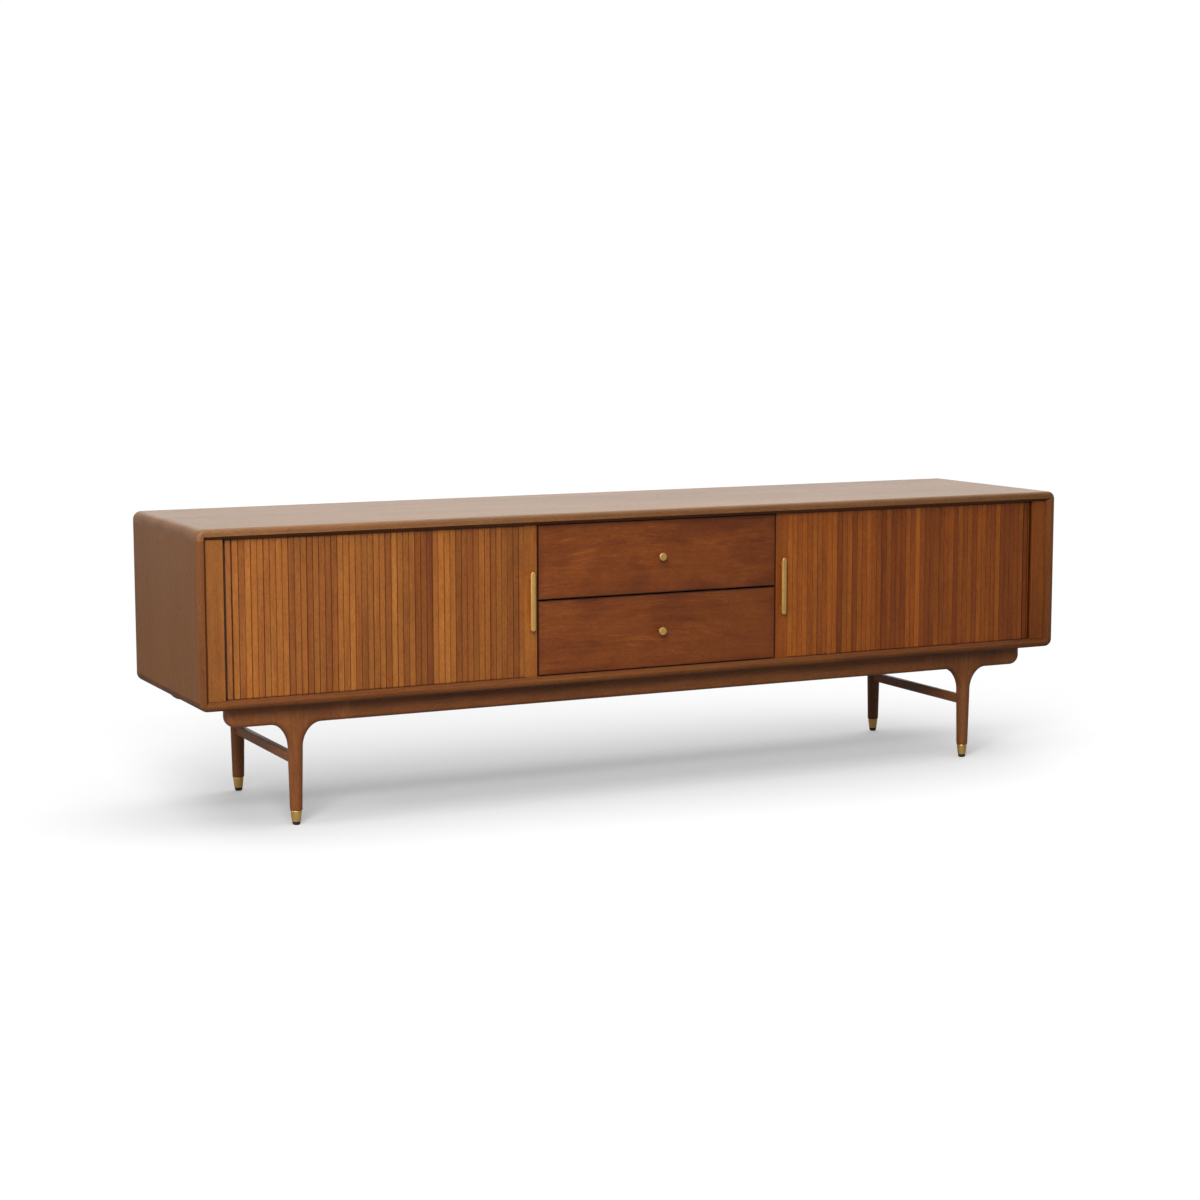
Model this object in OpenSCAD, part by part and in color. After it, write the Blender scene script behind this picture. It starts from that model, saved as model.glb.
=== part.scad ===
// Low media cabinet with two roll-around tambour doors, two drawers between them,
// and a base of front and rear rails that flow into four turned legs.
// Millimetres. +X to the right, +Y to the back, +Z up.
// Origin on the floor, under the middle of the case.

/* [Case] */
// Overall width of the case
case_w = 2000; // [1980:5:2020]
// Overall depth of the case
case_d = 450; // [446:2:460]
// Height of the top surface above the floor
case_h = 600; // [590:1:610]
// Height of the underside of the case above the floor
case_z = 247; // [240:1:252]
// Thickness of the top panel
top_t = 22; // [20:1:26]
// Thickness of the bottom panel
bottom_t = 18; // [17:1:22]
// Thickness of the side panels
side_t = 20; // [18:1:22]
// Radius of the four long outer corners, seen from the front
corner_r = 17; // [12:1:17]
// Radius worked on the outer front edges
edge_r = 9; // [4:0.5:9]
// Width of the bevel round the inside of the front opening
bevel_w = 7; // [3:0.5:7]
// Depth of that bevel
bevel_d = 12; // [6:1:12]

/* [Tambour doors] */
// Number of slats that lie straight when a door is closed
slats_flat = 49; // [49:1:49]
// Number of slats already in the corner bend when a door is closed
slats_bent = 5; // [3:1:5]
// Spacing of the slats
slat_pitch = 12.57; // [12.4:0.01:12.6]
// Width of one slat
slat_w = 12.3; // [11.6:0.1:12.3]
// Width of the slats that sit in the corner bend, where the gaps open up
bent_w = 11; // [10.5:0.1:11.5]
// Thickness of the slats
slat_t = 8; // [6:0.5:8]
// Width of the leading stile that carries the handle
lead_w = 28; // [26:1:28]
// Distance of the slat faces behind the front of the case
door_recess = 19; // [17:0.5:19]
// Length of the slat ends that run in the grooves
tongue = 5; // [4:0.5:5]
// Radius of the corner bend on the canvas side of the slats
bend_r = 36; // [34:0.5:36]

/* [Handles and knobs] */
// Length of the flat bar handles
handle_l = 122; // [100:1:130]
// Width of the bar handles
handle_w = 10; // [9:0.5:12]
// Thickness of the bar
handle_t = 6; // [4:0.5:6]
// Diameter of the drawer knobs
knob_d = 16; // [13:0.5:18]

/* [Drawers] */
// Gap round each drawer front
gap = 3; // [2:0.5:4]
// Thickness of the drawer fronts
front_t = 18; // [16:1:18]
// Length of the drawer slides
slide_l = 350; // [300:5:350]

/* [Base] */
// Height of the rails under the case
rail_h = 42; // [36:1:44]
// Thickness of the rails, front to back
rail_t = 30; // [28:1:32]
// Distance of each leg from the centre, along X
leg_x = 793; // [780:1:800]
// Position of the front legs along Y
leg_front_y = -172; // [-176:1:-168]
// Position of the rear legs along Y
leg_rear_y = 200; // [190:1:204]
// Diameter of a leg where it leaves the rail
leg_d_top = 30; // [28:1:30]
// Diameter of a leg at the top of its ferrule
leg_d_low = 24.8; // [23:0.1:26]
// Diameter of the ferrule at its upper rim
ferrule_d = 22.4; // [20:0.1:23]
// Diameter of the ferrule at its lower rim
ferrule_low_d = 17.6; // [16:0.1:19]

/* [Hidden] */
$fn = 48;

// outer faces of the case
xo = case_w / 2;
yf = -case_d / 2;
yb = case_d / 2;
// inner faces of the case
xi = xo - side_t;
zt = case_h - top_t;
zb = case_z + bottom_t;
// plane of the slat faces, and the middle of the slat thickness
yd = yf + door_recess;
ys = yd + slat_t / 2;
// dividers
div_t = 20;
div_x = 271;
div_yf = yd + front_t + 1;
back_t = 9;
back_y = yb - 14;
// lead stile, seen on the right-hand door
lead_x = 282;
lead_out = lead_x + lead_w;
// corner bend: the slats turn about this point
bend_x = lead_out + slats_flat * slat_pitch;
bend_yf = yd + slat_t + bend_r;
bend_yb = 158;
groove_d = 6;
back_run_x = 660;
canvas_t = 0.6;
// inner box that hides the stored tambour
liner_t = 10;
liner_x = bend_x + bend_r - 6.4 - liner_t;
liner_yf = bend_yf - 10;
liner_yb = bend_yb + 10;
end_w = 34.5;
end_y0 = yd - 8;
end_t = 7;
// cable outlets
cable_x = 420;
cable_z = 345;
cable_r = 30;
grommet_r = 26;
// shelves
shelf_t = 16;
shelf_z = (zt + zb) / 2 - shelf_t / 2;
pin_y = 120;
// drawers
front_x = div_x + 8;
mid_z = (zt + zb) / 2;
front_h = (zt - zb) / 2 - gap;
upper_z = mid_z + gap / 2;
lower_z = zb + gap / 2;
box_x = div_x - 13;
box_t = 12;
box_up = 12;
box_h = 120;
box_yf = yd + front_t;
box_yb = box_yf + slide_l + 3;
slide_up = box_up + 50;
slide_yf = box_yf + 2;
knob_up = front_h / 2;
// base
rail_z = case_z - rail_h;
stub_x = 937;
rail_x = 683;
neck_z = 150;
ferrule_z = 29;
glide_z = 7;
fillet_w = 38;
fillet_h = 48;
handle_x = 295.5;
handle_post = 48;
screw_y = [leg_front_y, leg_rear_y];

wood = "#8a5024";
wood_dark = "#7b3f1f";
ply = "#b98b58";
brass = "#c9a55a";
steel = "#b8bcc0";
black = "#2a2420";
linen = "#8d7a5c";

// ---------- helpers ----------

// Rectangle from a to b with its own radius at each corner: low-low, high-low, high-high, low-high
module rounded(a, b, r) {
  union() {
    difference() {
      translate(a) square([b[0] - a[0], b[1] - a[1]]);
      translate([a[0] - 1, a[1] - 1]) square([r[0] + 1, r[0] + 1]);
      translate([b[0] - r[1], a[1] - 1]) square([r[1] + 1, r[1] + 1]);
      translate([b[0] - r[2], b[1] - r[2]]) square([r[2] + 1, r[2] + 1]);
      translate([a[0] - 1, b[1] - r[3]]) square([r[3] + 1, r[3] + 1]);
    }
    translate([a[0] + r[0], a[1] + r[0]]) circle(r[0]);
    translate([b[0] - r[1], a[1] + r[1]]) circle(r[1]);
    translate([b[0] - r[2], b[1] - r[2]]) circle(r[2]);
    translate([a[0] + r[3], b[1] - r[3]]) circle(r[3]);
  }
}

module box(a, b) { translate(a) cube([b[0] - a[0], b[1] - a[1], b[2] - a[2]]); }

// A plane shape drawn in X and Z, given thickness from y0 to y1
module upright(y0, y1) { translate([0, y1, 0]) rotate([90, 0, 0]) linear_extrude(height = y1 - y0) children(); }
// A plane shape drawn in Y and Z, given length from x0 to x1
module along_x(x0, x1) { translate([x0, 0, 0]) rotate([90, 0, 90]) linear_extrude(height = x1 - x0) children(); }
// A round rod along Y
module rod_y(x, z, y0, y1, r) { translate([x, y0, z]) rotate([-90, 0, 0]) cylinder(h = y1 - y0, r = r); }
// A round rod along X
module rod_x(y, z, x0, x1, r) { translate([x0, y, z]) rotate([0, 90, 0]) cylinder(h = x1 - x0, r = r); }
module rod_z(x, y, z0, z1, r) { translate([x, y, z0]) cylinder(h = z1 - z0, r = r); }
module both_sides() { children(); mirror([1, 0, 0]) children(); }

// Outer form of the whole case, rounded on every outer edge
module envelope() {
  intersection() {
    upright(yf, yb) rounded([-xo, case_z], [xo, case_h], [corner_r, corner_r, corner_r, corner_r]);
    along_x(-xo, xo) rounded([yf, case_z], [yb, case_h], [edge_r, 3, 3, edge_r]);
    translate([0, 0, case_z]) linear_extrude(height = case_h - case_z)
      rounded([-xo, yf], [xo, yb], [edge_r, edge_r, 3, 3]);
  }
}

// Flared mouth of the case, cut from all four case panels
module mouth() {
  intersection() {
    translate([0, 0, case_z - 1]) linear_extrude(height = case_h - case_z + 2)
      polygon([[-xi, yf + bevel_d], [-xi - bevel_w * 1.1, yf - bevel_d * 0.1],
               [xi + bevel_w * 1.1, yf - bevel_d * 0.1], [xi, yf + bevel_d]]);
    along_x(-xo - 1, xo + 1)
      polygon([[yf + bevel_d, zb], [yf - bevel_d * 0.1, zb - bevel_w * 1.1],
               [yf - bevel_d * 0.1, zt + bevel_w * 1.1], [yf + bevel_d, zt]]);
  }
}

// Groove that one tambour runs in: along the front, round the corner, along the side and the back
module track_plan() {
  r0 = bend_r - 1.2;
  r1 = bend_r + slat_t + 1;
  translate([lead_x - 0.5, bend_yf - r1 + 0.4]) square([bend_x - lead_x + 0.5, r1 - r0 - 0.6]);
  translate([bend_x, bend_yf]) intersection() {
    difference() { circle(r1); circle(r0); }
    translate([0, -r1 - 1]) square([r1 + 1, r1 + 1]);
  }
  translate([bend_x + r0, bend_yf]) square([r1 - r0, bend_yb - bend_yf]);
  translate([bend_x, bend_yb]) intersection() {
    difference() { circle(r1); circle(r0); }
    square([r1 + 1, r1 + 1]);
  }
  translate([back_run_x, bend_yb + r0]) square([bend_x - back_run_x, r1 - r0]);
}
module tracks(z) { translate([0, 0, z]) linear_extrude(height = groove_d + 1) union() { track_plan(); mirror([1, 0]) track_plan(); } }

// ---------- case ----------

dowel_y = [-150, -30, 90, 190];
module dowel_set(r, extra) {
  both_sides() for (y = dowel_y) {
    rod_z(xo - side_t / 2 + 1, y, zt - 16 - extra, zt + 12 + extra, r);
    rod_z(xo - side_t / 2 + 1, y, zb - 11 - extra, zb + 16 + extra, r);
  }
}
module rail_dowel_set(r, extra) {
  both_sides() for (y = screw_y, dz = [-8, 8])
    rod_x(y, case_z - rail_h / 2 + dz, rail_x - 18 - extra, rail_x + 18 + extra, r);
}
module dowels() color(ply) { dowel_set(4, 0); rail_dowel_set(4, 0); }

base_screw_x = [300, 897];
module base_screw_at() { for (sx = [-1, 1], x = base_screw_x, y = screw_y) translate([sx * x, y, 0]) children(); }

module top_panel() color(wood) difference() {
  intersection() { envelope(); box([-xo, yf, zt], [xo, yb, case_h]); }
  mouth();
  tracks(zt - 1);
  dowel_set(4, 0.5);
}
module bottom_panel() color(wood) difference() {
  intersection() { envelope(); box([-xo, yf, case_z], [xo, yb, zb]); }
  mouth();
  tracks(zb - groove_d);
  dowel_set(4, 0.5);
  base_screw_at() translate([0, 0, case_z - 1]) cylinder(h = 12, r = 3);
}
module side_panel() difference() {
  intersection() { envelope(); box([xi, yf, zb], [xo, yb, zt]); }
  mouth();
  dowel_set(4, 0.5);
}
module right_side_panel() color(wood) side_panel();
module left_side_panel() color(wood) mirror([1, 0, 0]) side_panel();

back_screw_z = [300, 421, 543];
module divider() difference() {
  box([div_x, div_yf, zb], [div_x + div_t, back_y, zt]);
  for (z = back_screw_z) rod_y(div_x + div_t / 2, z, back_y - 22, back_y + 1, 1.9);
  for (y = [-pin_y, pin_y]) rod_x(y, shelf_z - 2.5, div_x + div_t - 8, div_x + div_t + 1, 2.5);
}
module right_divider() color(wood_dark) divider();
module left_divider() color(wood_dark) mirror([1, 0, 0]) divider();

module back_panel() color(ply) difference() {
  box([-xi, back_y, zb], [xi, back_y + back_t, zt]);
  both_sides() {
    rod_y(cable_x, cable_z, back_y - 1, back_y + back_t + 1, cable_r);
    for (z = back_screw_z) rod_y(div_x + div_t / 2, z, back_y - 1, back_y + back_t + 1, 2.1);
    for (z = back_screw_z) rod_y(div_x + div_t / 2, z, back_y + back_t - 2, back_y + back_t + 1, 3.7);
  }
}
module back_panel_screws() color(steel) both_sides() for (z = back_screw_z) {
  rod_y(div_x + div_t / 2, z, back_y - 20, back_y + back_t - 1, 1.8);
  rod_y(div_x + div_t / 2, z, back_y + back_t - 2, back_y + back_t, 3.5);
}

// Fixed stile that covers the corner bend of the tambour
module end_panel() box([xi - end_w, end_y0, zb], [xi, end_y0 + end_t, zt]);
module right_end_panel() color(wood) end_panel();
module left_end_panel() color(wood) mirror([1, 0, 0]) end_panel();

module side_liner() difference() {
  box([liner_x, liner_yf, zb], [liner_x + liner_t, liner_yb, zt]);
  for (y = [-pin_y, pin_y]) rod_x(y, shelf_z - 2.5, liner_x - 1, liner_x + 8, 2.5);
}
module right_side_liner() color(ply) side_liner();
module left_side_liner() color(ply) mirror([1, 0, 0]) side_liner();
module back_liner() difference() {
  box([div_x + div_t, liner_yb, zb], [liner_x + liner_t - 2, liner_yb + liner_t, zt]);
  rod_y(cable_x, cable_z, liner_yb - 1, liner_yb + liner_t + 1, cable_r);
}
module right_back_liner() color(ply) back_liner();
module left_back_liner() color(ply) mirror([1, 0, 0]) back_liner();

module shelf() box([div_x + div_t + 2, liner_yf - 8, shelf_z], [liner_x - 2, liner_yb - 8, shelf_z + shelf_t]);
module right_shelf() color(wood_dark) shelf();
module left_shelf() color(wood_dark) mirror([1, 0, 0]) shelf();
module shelf_pins() color(steel) both_sides() for (y = [-pin_y, pin_y]) {
  rod_x(y, shelf_z - 2.5, liner_x - 9, liner_x + 8, 2.5);
  rod_x(y, shelf_z - 2.5, div_x + div_t - 8, div_x + div_t + 9, 2.5);
}

module ring_y(y0, y1, r0, r1) difference() {
  rod_y(cable_x, cable_z, y0, y1, r1);
  rod_y(cable_x, cable_z, y0 - 1, y1 + 1, r0);
}
module grommet(y0, y1) {
  difference() {
    union() {
      rod_y(cable_x, cable_z, y0, y1, cable_r);
      rod_y(cable_x, cable_z, y1, y1 + 2, cable_r + 3);
    }
    rod_y(cable_x, cable_z, y0 - 1, y1 + 3, grommet_r);
  }
}
module cable_grommets() color(black) both_sides() {
  grommet(back_y, back_y + back_t);
  translate([0, 2 * liner_yb + liner_t, 0]) mirror([0, 1, 0]) grommet(liner_yb, liner_yb + liner_t);
}

// ---------- base ----------

function bow(cx, cz, rx, rz, a0, a1, n) = [for (i = [0:n]) [cx + rx * cos(a0 + (a1 - a0) * i / n), cz + rz * sin(a0 + (a1 - a0) * i / n)]];

// Outline of one leg bracket about the axis of its leg, with the end of the rail towards +X
module bracket_plan() {
  r = leg_d_top / 2;
  e = stub_x - leg_x;
  i = leg_x - rail_x;
  polygon(concat(
    [[-i, case_z], [-i, rail_z]],
    bow(-r - fillet_w, rail_z - fillet_h, fillet_w, fillet_h, 90, 0, 14),
    [[-r, neck_z], [r, neck_z]],
    bow(r + fillet_w, rail_z - fillet_h, fillet_w, fillet_h, 180, 90, 14),
    bow(e - 22, rail_z + 22, 22, 22, 270, 360, 10),
    [[e, case_z]]));
}
module leg_shaft(grow) { translate([0, 0, ferrule_z]) cylinder(h = neck_z - ferrule_z, r1 = leg_d_low / 2 + grow, r2 = leg_d_top / 2 + grow); }

st_z = 132;
st_h = 20;
st_w = 16;
// One leg with its bracket, for the right-hand side. inward is +1 for a front leg and -1 for a rear leg
module leg(y, inward) difference() {
  union() {
    translate([leg_x, y, 0]) {
      upright(-rail_t / 2, rail_t / 2) bracket_plan();
      leg_shaft(0);
      translate([0, 0, 13]) cylinder(h = ferrule_z - 13, r = 7.5);
    }
  }
  rail_dowel_set(4, 0.5);
  base_screw_at() { translate([0, 0, rail_z - 1]) cylinder(h = 17, r = 6); translate([0, 0, rail_z]) cylinder(h = rail_h + 1, r = 3.1); }
  rod_z(leg_x, y, 12, 26, 2.5);
  if (inward > 0) rod_y(leg_x, st_z, y + 3, y + 20, 5); else rod_y(leg_x, st_z, y - 20, y - 3, 5);
}
module front_right_leg() color(wood) leg(leg_front_y, 1);
module front_left_leg() color(wood) mirror([1, 0, 0]) leg(leg_front_y, 1);
module rear_right_leg() color(wood) leg(leg_rear_y, -1);
module rear_left_leg() color(wood) mirror([1, 0, 0]) leg(leg_rear_y, -1);

module rail(y) difference() {
  box([-rail_x, y - rail_t / 2, rail_z], [rail_x, y + rail_t / 2, case_z]);
  rail_dowel_set(4, 0.5);
  base_screw_at() { translate([0, 0, rail_z - 1]) cylinder(h = 17, r = 6); translate([0, 0, rail_z]) cylinder(h = rail_h + 1, r = 3.1); }
}
module front_rail() color(wood) rail(leg_front_y);
module rear_rail() color(wood) rail(leg_rear_y);
module base_screws() color(steel) base_screw_at() {
  translate([0, 0, rail_z + 12]) cylinder(h = 4, r = 5);
  translate([0, 0, rail_z + 15]) cylinder(h = case_z + 10 - rail_z - 15, r = 2.9);
}

module stretcher() {
  difference() {
    box([leg_x - st_w / 2, leg_front_y, st_z - st_h / 2], [leg_x + st_w / 2, leg_rear_y, st_z + st_h / 2]);
    translate([leg_x, leg_front_y, 0]) leg_shaft(0);
    translate([leg_x, leg_rear_y, 0]) leg_shaft(0);
  }
  rod_y(leg_x, st_z, leg_front_y + 4, leg_front_y + 24, 5);
  rod_y(leg_x, st_z, leg_rear_y - 24, leg_rear_y - 4, 5);
}
module right_stretcher() color(wood) stretcher();
module left_stretcher() color(wood) mirror([1, 0, 0]) stretcher();

module at_legs() { for (x = [-leg_x, leg_x], y = screw_y) translate([x, y, 0]) children(); }
module ferrules() color(brass) at_legs() difference() {
  union() {
    translate([0, 0, glide_z]) cylinder(h = ferrule_z - 2 - glide_z, r1 = ferrule_low_d / 2, r2 = ferrule_d / 2);
    translate([0, 0, ferrule_z - 2]) cylinder(h = 2, r = ferrule_d / 2);
  }
  translate([0, 0, 13]) cylinder(h = ferrule_z, r = 7.5);
  translate([0, 0, glide_z - 1]) cylinder(h = 10, r = 2.5);
}
module glides() color(black) at_legs() {
  rotate_extrude() polygon([[0, 0], [5.6, 0], [7.1, 1], [8, 3.4], [8.2, glide_z], [0, glide_z]]);
  translate([0, 0, glide_z - 1]) cylinder(h = 18, r = 2.45);
}

// ---------- drawers ----------

// Channel open towards the centre of the cabinet; web at xa..xb, lips reaching to xl, half height h
module channel(xa, xb, xl, h, zc, t) {
  box([xa, slide_yf, zc - h], [xb, slide_yf + slide_l, zc + h]);
  box([min(xl, xa), slide_yf, zc + h - t], [max(xl, xb), slide_yf + slide_l, zc + h]);
  box([min(xl, xa), slide_yf, zc - h], [max(xl, xb), slide_yf + slide_l, zc - h + t]);
}
module outer_member(z) channel(div_x - 1.2, div_x, div_x - 10.5, 22.5, z + slide_up, 1.2);
module middle_member(z) channel(div_x - 4.7, div_x - 3.5, div_x - 9.5, 19.5, z + slide_up, 1.2);
module inner_member(z) channel(box_x, box_x + 1.2, box_x + 6.4, 16, z + slide_up, 1.2);
module slide_outer_members() color(steel) both_sides() { outer_member(upper_z); outer_member(lower_z); }
module upper_slide_middle_members() color(steel) both_sides() middle_member(upper_z);
module lower_slide_middle_members() color(steel) both_sides() middle_member(lower_z);
module upper_slide_inner_members() color(steel) both_sides() inner_member(upper_z);
module lower_slide_inner_members() color(steel) both_sides() inner_member(lower_z);

module drawer_front(z) difference() {
  box([-front_x, yd, z], [front_x, yd + front_t, z + front_h]);
  box([-box_x + box_t - 4, box_yf - 4, z + box_up + 6], [box_x - box_t + 4, box_yf + 1, z + box_up + 12]);
  rod_y(0, z + knob_up, yd - 1, box_yf + 1, 2.2);
}
module drawer_side(z) difference() {
  box([box_x - box_t, box_yf, z + box_up], [box_x, box_yb, z + box_up + box_h]);
  box([box_x - box_t - 1, box_yf - 1, z + box_up + 6], [box_x - box_t + 4, box_yb + 1, z + box_up + 12]);
}
module drawer_back(z) box([-box_x + box_t, box_yb - box_t, z + box_up + 12], [box_x - box_t, box_yb, z + box_up + box_h]);
module drawer_bottom(z) box([-box_x + box_t - 4, box_yf - 4, z + box_up + 6], [box_x - box_t + 4, box_yb, z + box_up + 12]);
knob_y = yf + 0.5;
module knob(z) translate([0, knob_y, z + knob_up]) rotate([-90, 0, 0]) difference() {
  rotate_extrude() polygon(concat(
    [[0, 0], [knob_d / 2 - 1.6, 0]],
    bow(knob_d / 2 - 1.6, 1.6, 1.6, 1.6, -90, 0, 6),
    [[knob_d / 2, 6.4], [knob_d / 2 - 1.6, 8], [4, 9.4], [3.4, 11], [3.4, yd - knob_y - 1.6], [4.6, yd - knob_y], [0, yd - knob_y]]));
  translate([0, 0, 9]) cylinder(h = 12, r = 2);
}
module knob_screw(z) {
  rod_y(0, z + knob_up, knob_y + 10, box_yf + 1, 1.95);
  rod_y(0, z + knob_up, box_yf, box_yf + 2.5, 4);
}
module upper_drawer_front() color(wood_dark) drawer_front(upper_z);
module upper_drawer_left_side() color(ply) mirror([1, 0, 0]) drawer_side(upper_z);
module upper_drawer_right_side() color(ply) drawer_side(upper_z);
module upper_drawer_back() color(ply) drawer_back(upper_z);
module upper_drawer_bottom() color(ply) drawer_bottom(upper_z);
module upper_knob() color(brass) knob(upper_z);
module upper_knob_screw() color(steel) knob_screw(upper_z);
module lower_drawer_front() color(wood_dark) drawer_front(lower_z);
module lower_drawer_left_side() color(ply) mirror([1, 0, 0]) drawer_side(lower_z);
module lower_drawer_right_side() color(ply) drawer_side(lower_z);
module lower_drawer_back() color(ply) drawer_back(lower_z);
module lower_drawer_bottom() color(ply) drawer_bottom(lower_z);
module lower_knob() color(brass) knob(lower_z);
module lower_knob_screw() color(steel) knob_screw(lower_z);

// ---------- tambour doors ----------

tz0 = zb - tongue;
tz1 = zt + tongue;
module lead_stile() difference() {
  union() {
    box([lead_x, yd, zb + 1], [lead_out, yd + front_t, zt - 1]);
    box([lead_x, yd, tz0], [lead_out, yd + slat_t, tz1]);
  }
  for (s = [-1, 1]) {
    rod_y(handle_x, mid_z + s * handle_post, yd - 1, yd + front_t + 1, 1.7);
    rod_y(handle_x, mid_z + s * handle_post, yd + front_t - 3.5, yd + front_t + 1, 3.2);
  }
}
module slats() {
  for (i = [0:slats_flat - 1])
    box([lead_out + i * slat_pitch + (slat_pitch - slat_w) / 2, yd, tz0],
        [lead_out + i * slat_pitch + (slat_pitch + slat_w) / 2, yd + slat_t, tz1]);
  for (i = [0:slats_bent - 1])
    translate([bend_x, bend_yf, tz0]) rotate([0, 0, (i + 0.5) * slat_pitch / bend_r * 180 / PI])
      translate([-bent_w / 2, -bend_r - slat_t, 0]) cube([bent_w, slat_t, tz1 - tz0]);
}
module canvas() {
  a = slats_bent * slat_pitch / bend_r * 180 / PI;
  box([lead_out, yd + slat_t, zb + 4], [bend_x, yd + slat_t + canvas_t, zt - 4]);
  translate([bend_x, bend_yf, zb + 4]) intersection() {
    difference() {
      cylinder(h = zt - zb - 8, r = bend_r);
      translate([0, 0, -1]) cylinder(h = zt - zb, r = bend_r - canvas_t);
    }
    translate([0, -bend_r - 5, -1]) cube([bend_r + 5, bend_r + 5, zt - zb]);
  }
}
handle_y = yf + 5.5;
module handle() {
  r = handle_w / 2;
  difference() {
    union() {
      upright(handle_y, handle_y + handle_t) {
        translate([handle_x - r, mid_z - handle_l / 2 + r]) square([handle_w, handle_l - handle_w]);
        translate([handle_x, mid_z - handle_l / 2 + r]) circle(r);
        translate([handle_x, mid_z + handle_l / 2 - r]) circle(r);
      }
      for (s = [-1, 1]) rod_y(handle_x, mid_z + s * handle_post, handle_y + 1, yd, 2.5);
    }
    for (s = [-1, 1]) rod_y(handle_x, mid_z + s * handle_post, handle_y + handle_t + 0.5, yd + 1, 1.55);
  }
}
module handle_screws() for (s = [-1, 1]) {
  rod_y(handle_x, mid_z + s * handle_post, handle_y + handle_t + 1, yd + front_t - 2, 1.5);
  rod_y(handle_x, mid_z + s * handle_post, yd + front_t - 3.5, yd + front_t - 1.2, 2.9);
}
module right_lead_stile() color(wood) lead_stile();
module right_slats() color(wood) slats();
module right_canvas() color(linen) canvas();
module right_handle() color(brass) handle();
module right_handle_screws() color(steel) handle_screws();
module left_lead_stile() color(wood) mirror([1, 0, 0]) lead_stile();
module left_slats() color(wood) mirror([1, 0, 0]) slats();
module left_canvas() color(linen) mirror([1, 0, 0]) canvas();
module left_handle() color(brass) mirror([1, 0, 0]) handle();
module left_handle_screws() color(steel) mirror([1, 0, 0]) handle_screws();

top_panel();
bottom_panel();
left_side_panel();
right_side_panel();
dowels();
left_divider();
right_divider();
back_panel();
back_panel_screws();
left_end_panel();
right_end_panel();
left_side_liner();
right_side_liner();
left_back_liner();
right_back_liner();
left_shelf();
right_shelf();
shelf_pins();
cable_grommets();
front_rail();
rear_rail();
front_left_leg();
front_right_leg();
rear_left_leg();
rear_right_leg();
left_stretcher();
right_stretcher();
ferrules();
glides();
base_screws();
slide_outer_members();
upper_slide_middle_members();
lower_slide_middle_members();
upper_slide_inner_members();
lower_slide_inner_members();
upper_drawer_front();
upper_drawer_left_side();
upper_drawer_right_side();
upper_drawer_back();
upper_drawer_bottom();
upper_knob();
upper_knob_screw();
lower_drawer_front();
lower_drawer_left_side();
lower_drawer_right_side();
lower_drawer_back();
lower_drawer_bottom();
lower_knob();
lower_knob_screw();
left_lead_stile();
left_slats();
left_canvas();
left_handle();
left_handle_screws();
right_lead_stile();
right_slats();
right_canvas();
right_handle();
right_handle_screws();
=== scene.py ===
import math
import random

import bmesh
import bpy
import numpy as np
from mathutils import Matrix, Vector
from mathutils.geometry import delaunay_2d_cdt


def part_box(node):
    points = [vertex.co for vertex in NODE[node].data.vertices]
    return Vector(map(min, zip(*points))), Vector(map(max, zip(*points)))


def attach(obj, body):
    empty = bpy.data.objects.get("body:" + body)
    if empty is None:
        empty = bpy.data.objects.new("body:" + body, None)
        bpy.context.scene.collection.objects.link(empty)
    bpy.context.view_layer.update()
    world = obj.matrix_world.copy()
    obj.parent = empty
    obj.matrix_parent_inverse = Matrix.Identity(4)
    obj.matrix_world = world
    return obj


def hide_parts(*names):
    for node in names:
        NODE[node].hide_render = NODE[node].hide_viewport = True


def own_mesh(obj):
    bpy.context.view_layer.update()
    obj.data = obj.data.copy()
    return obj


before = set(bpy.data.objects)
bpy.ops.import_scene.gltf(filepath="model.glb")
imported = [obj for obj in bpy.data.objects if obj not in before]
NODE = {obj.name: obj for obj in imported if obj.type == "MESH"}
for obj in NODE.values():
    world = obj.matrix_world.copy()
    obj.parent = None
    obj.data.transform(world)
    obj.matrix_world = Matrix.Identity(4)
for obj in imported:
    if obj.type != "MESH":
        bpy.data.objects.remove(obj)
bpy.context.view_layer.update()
scene = bpy.context.scene
MM = 0.001

# ------------------------------------------------------------------ camera
# world axes: X right, Y back, Z up; a long lens from the front left, a little above
YAW, PITCH, ROLL = 26.215, -7.211, -0.058
CAM_AT = Vector((-2.32036, -4.63699, 1.04008))
yaw, pitch, roll = (math.radians(v) for v in (YAW, PITCH, ROLL))
fwd = Vector((math.sin(yaw) * math.cos(pitch), math.cos(yaw) * math.cos(pitch), math.sin(pitch)))
right = Vector((math.cos(yaw), -math.sin(yaw), 0))
up = right.cross(fwd)
R = math.cos(roll) * right + math.sin(roll) * up
U = -math.sin(roll) * right + math.cos(roll) * up
cam_data = bpy.data.cameras.new("camera")
cam_data.sensor_width = 36.0
cam_data.lens = 2408.05 / 1200 * 36.0
cam_data.clip_start, cam_data.clip_end = 0.05, 100
cam = bpy.data.objects.new("camera", cam_data)
scene.collection.objects.link(cam)
cam.matrix_world = Matrix((
    (R.x, U.x, -fwd.x, CAM_AT.x),
    (R.y, U.y, -fwd.y, CAM_AT.y),
    (R.z, U.z, -fwd.z, CAM_AT.z),
    (0, 0, 0, 1)))
scene.camera = cam
scene.view_settings.view_transform = "Standard"
scene.view_settings.look = "None"

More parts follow.
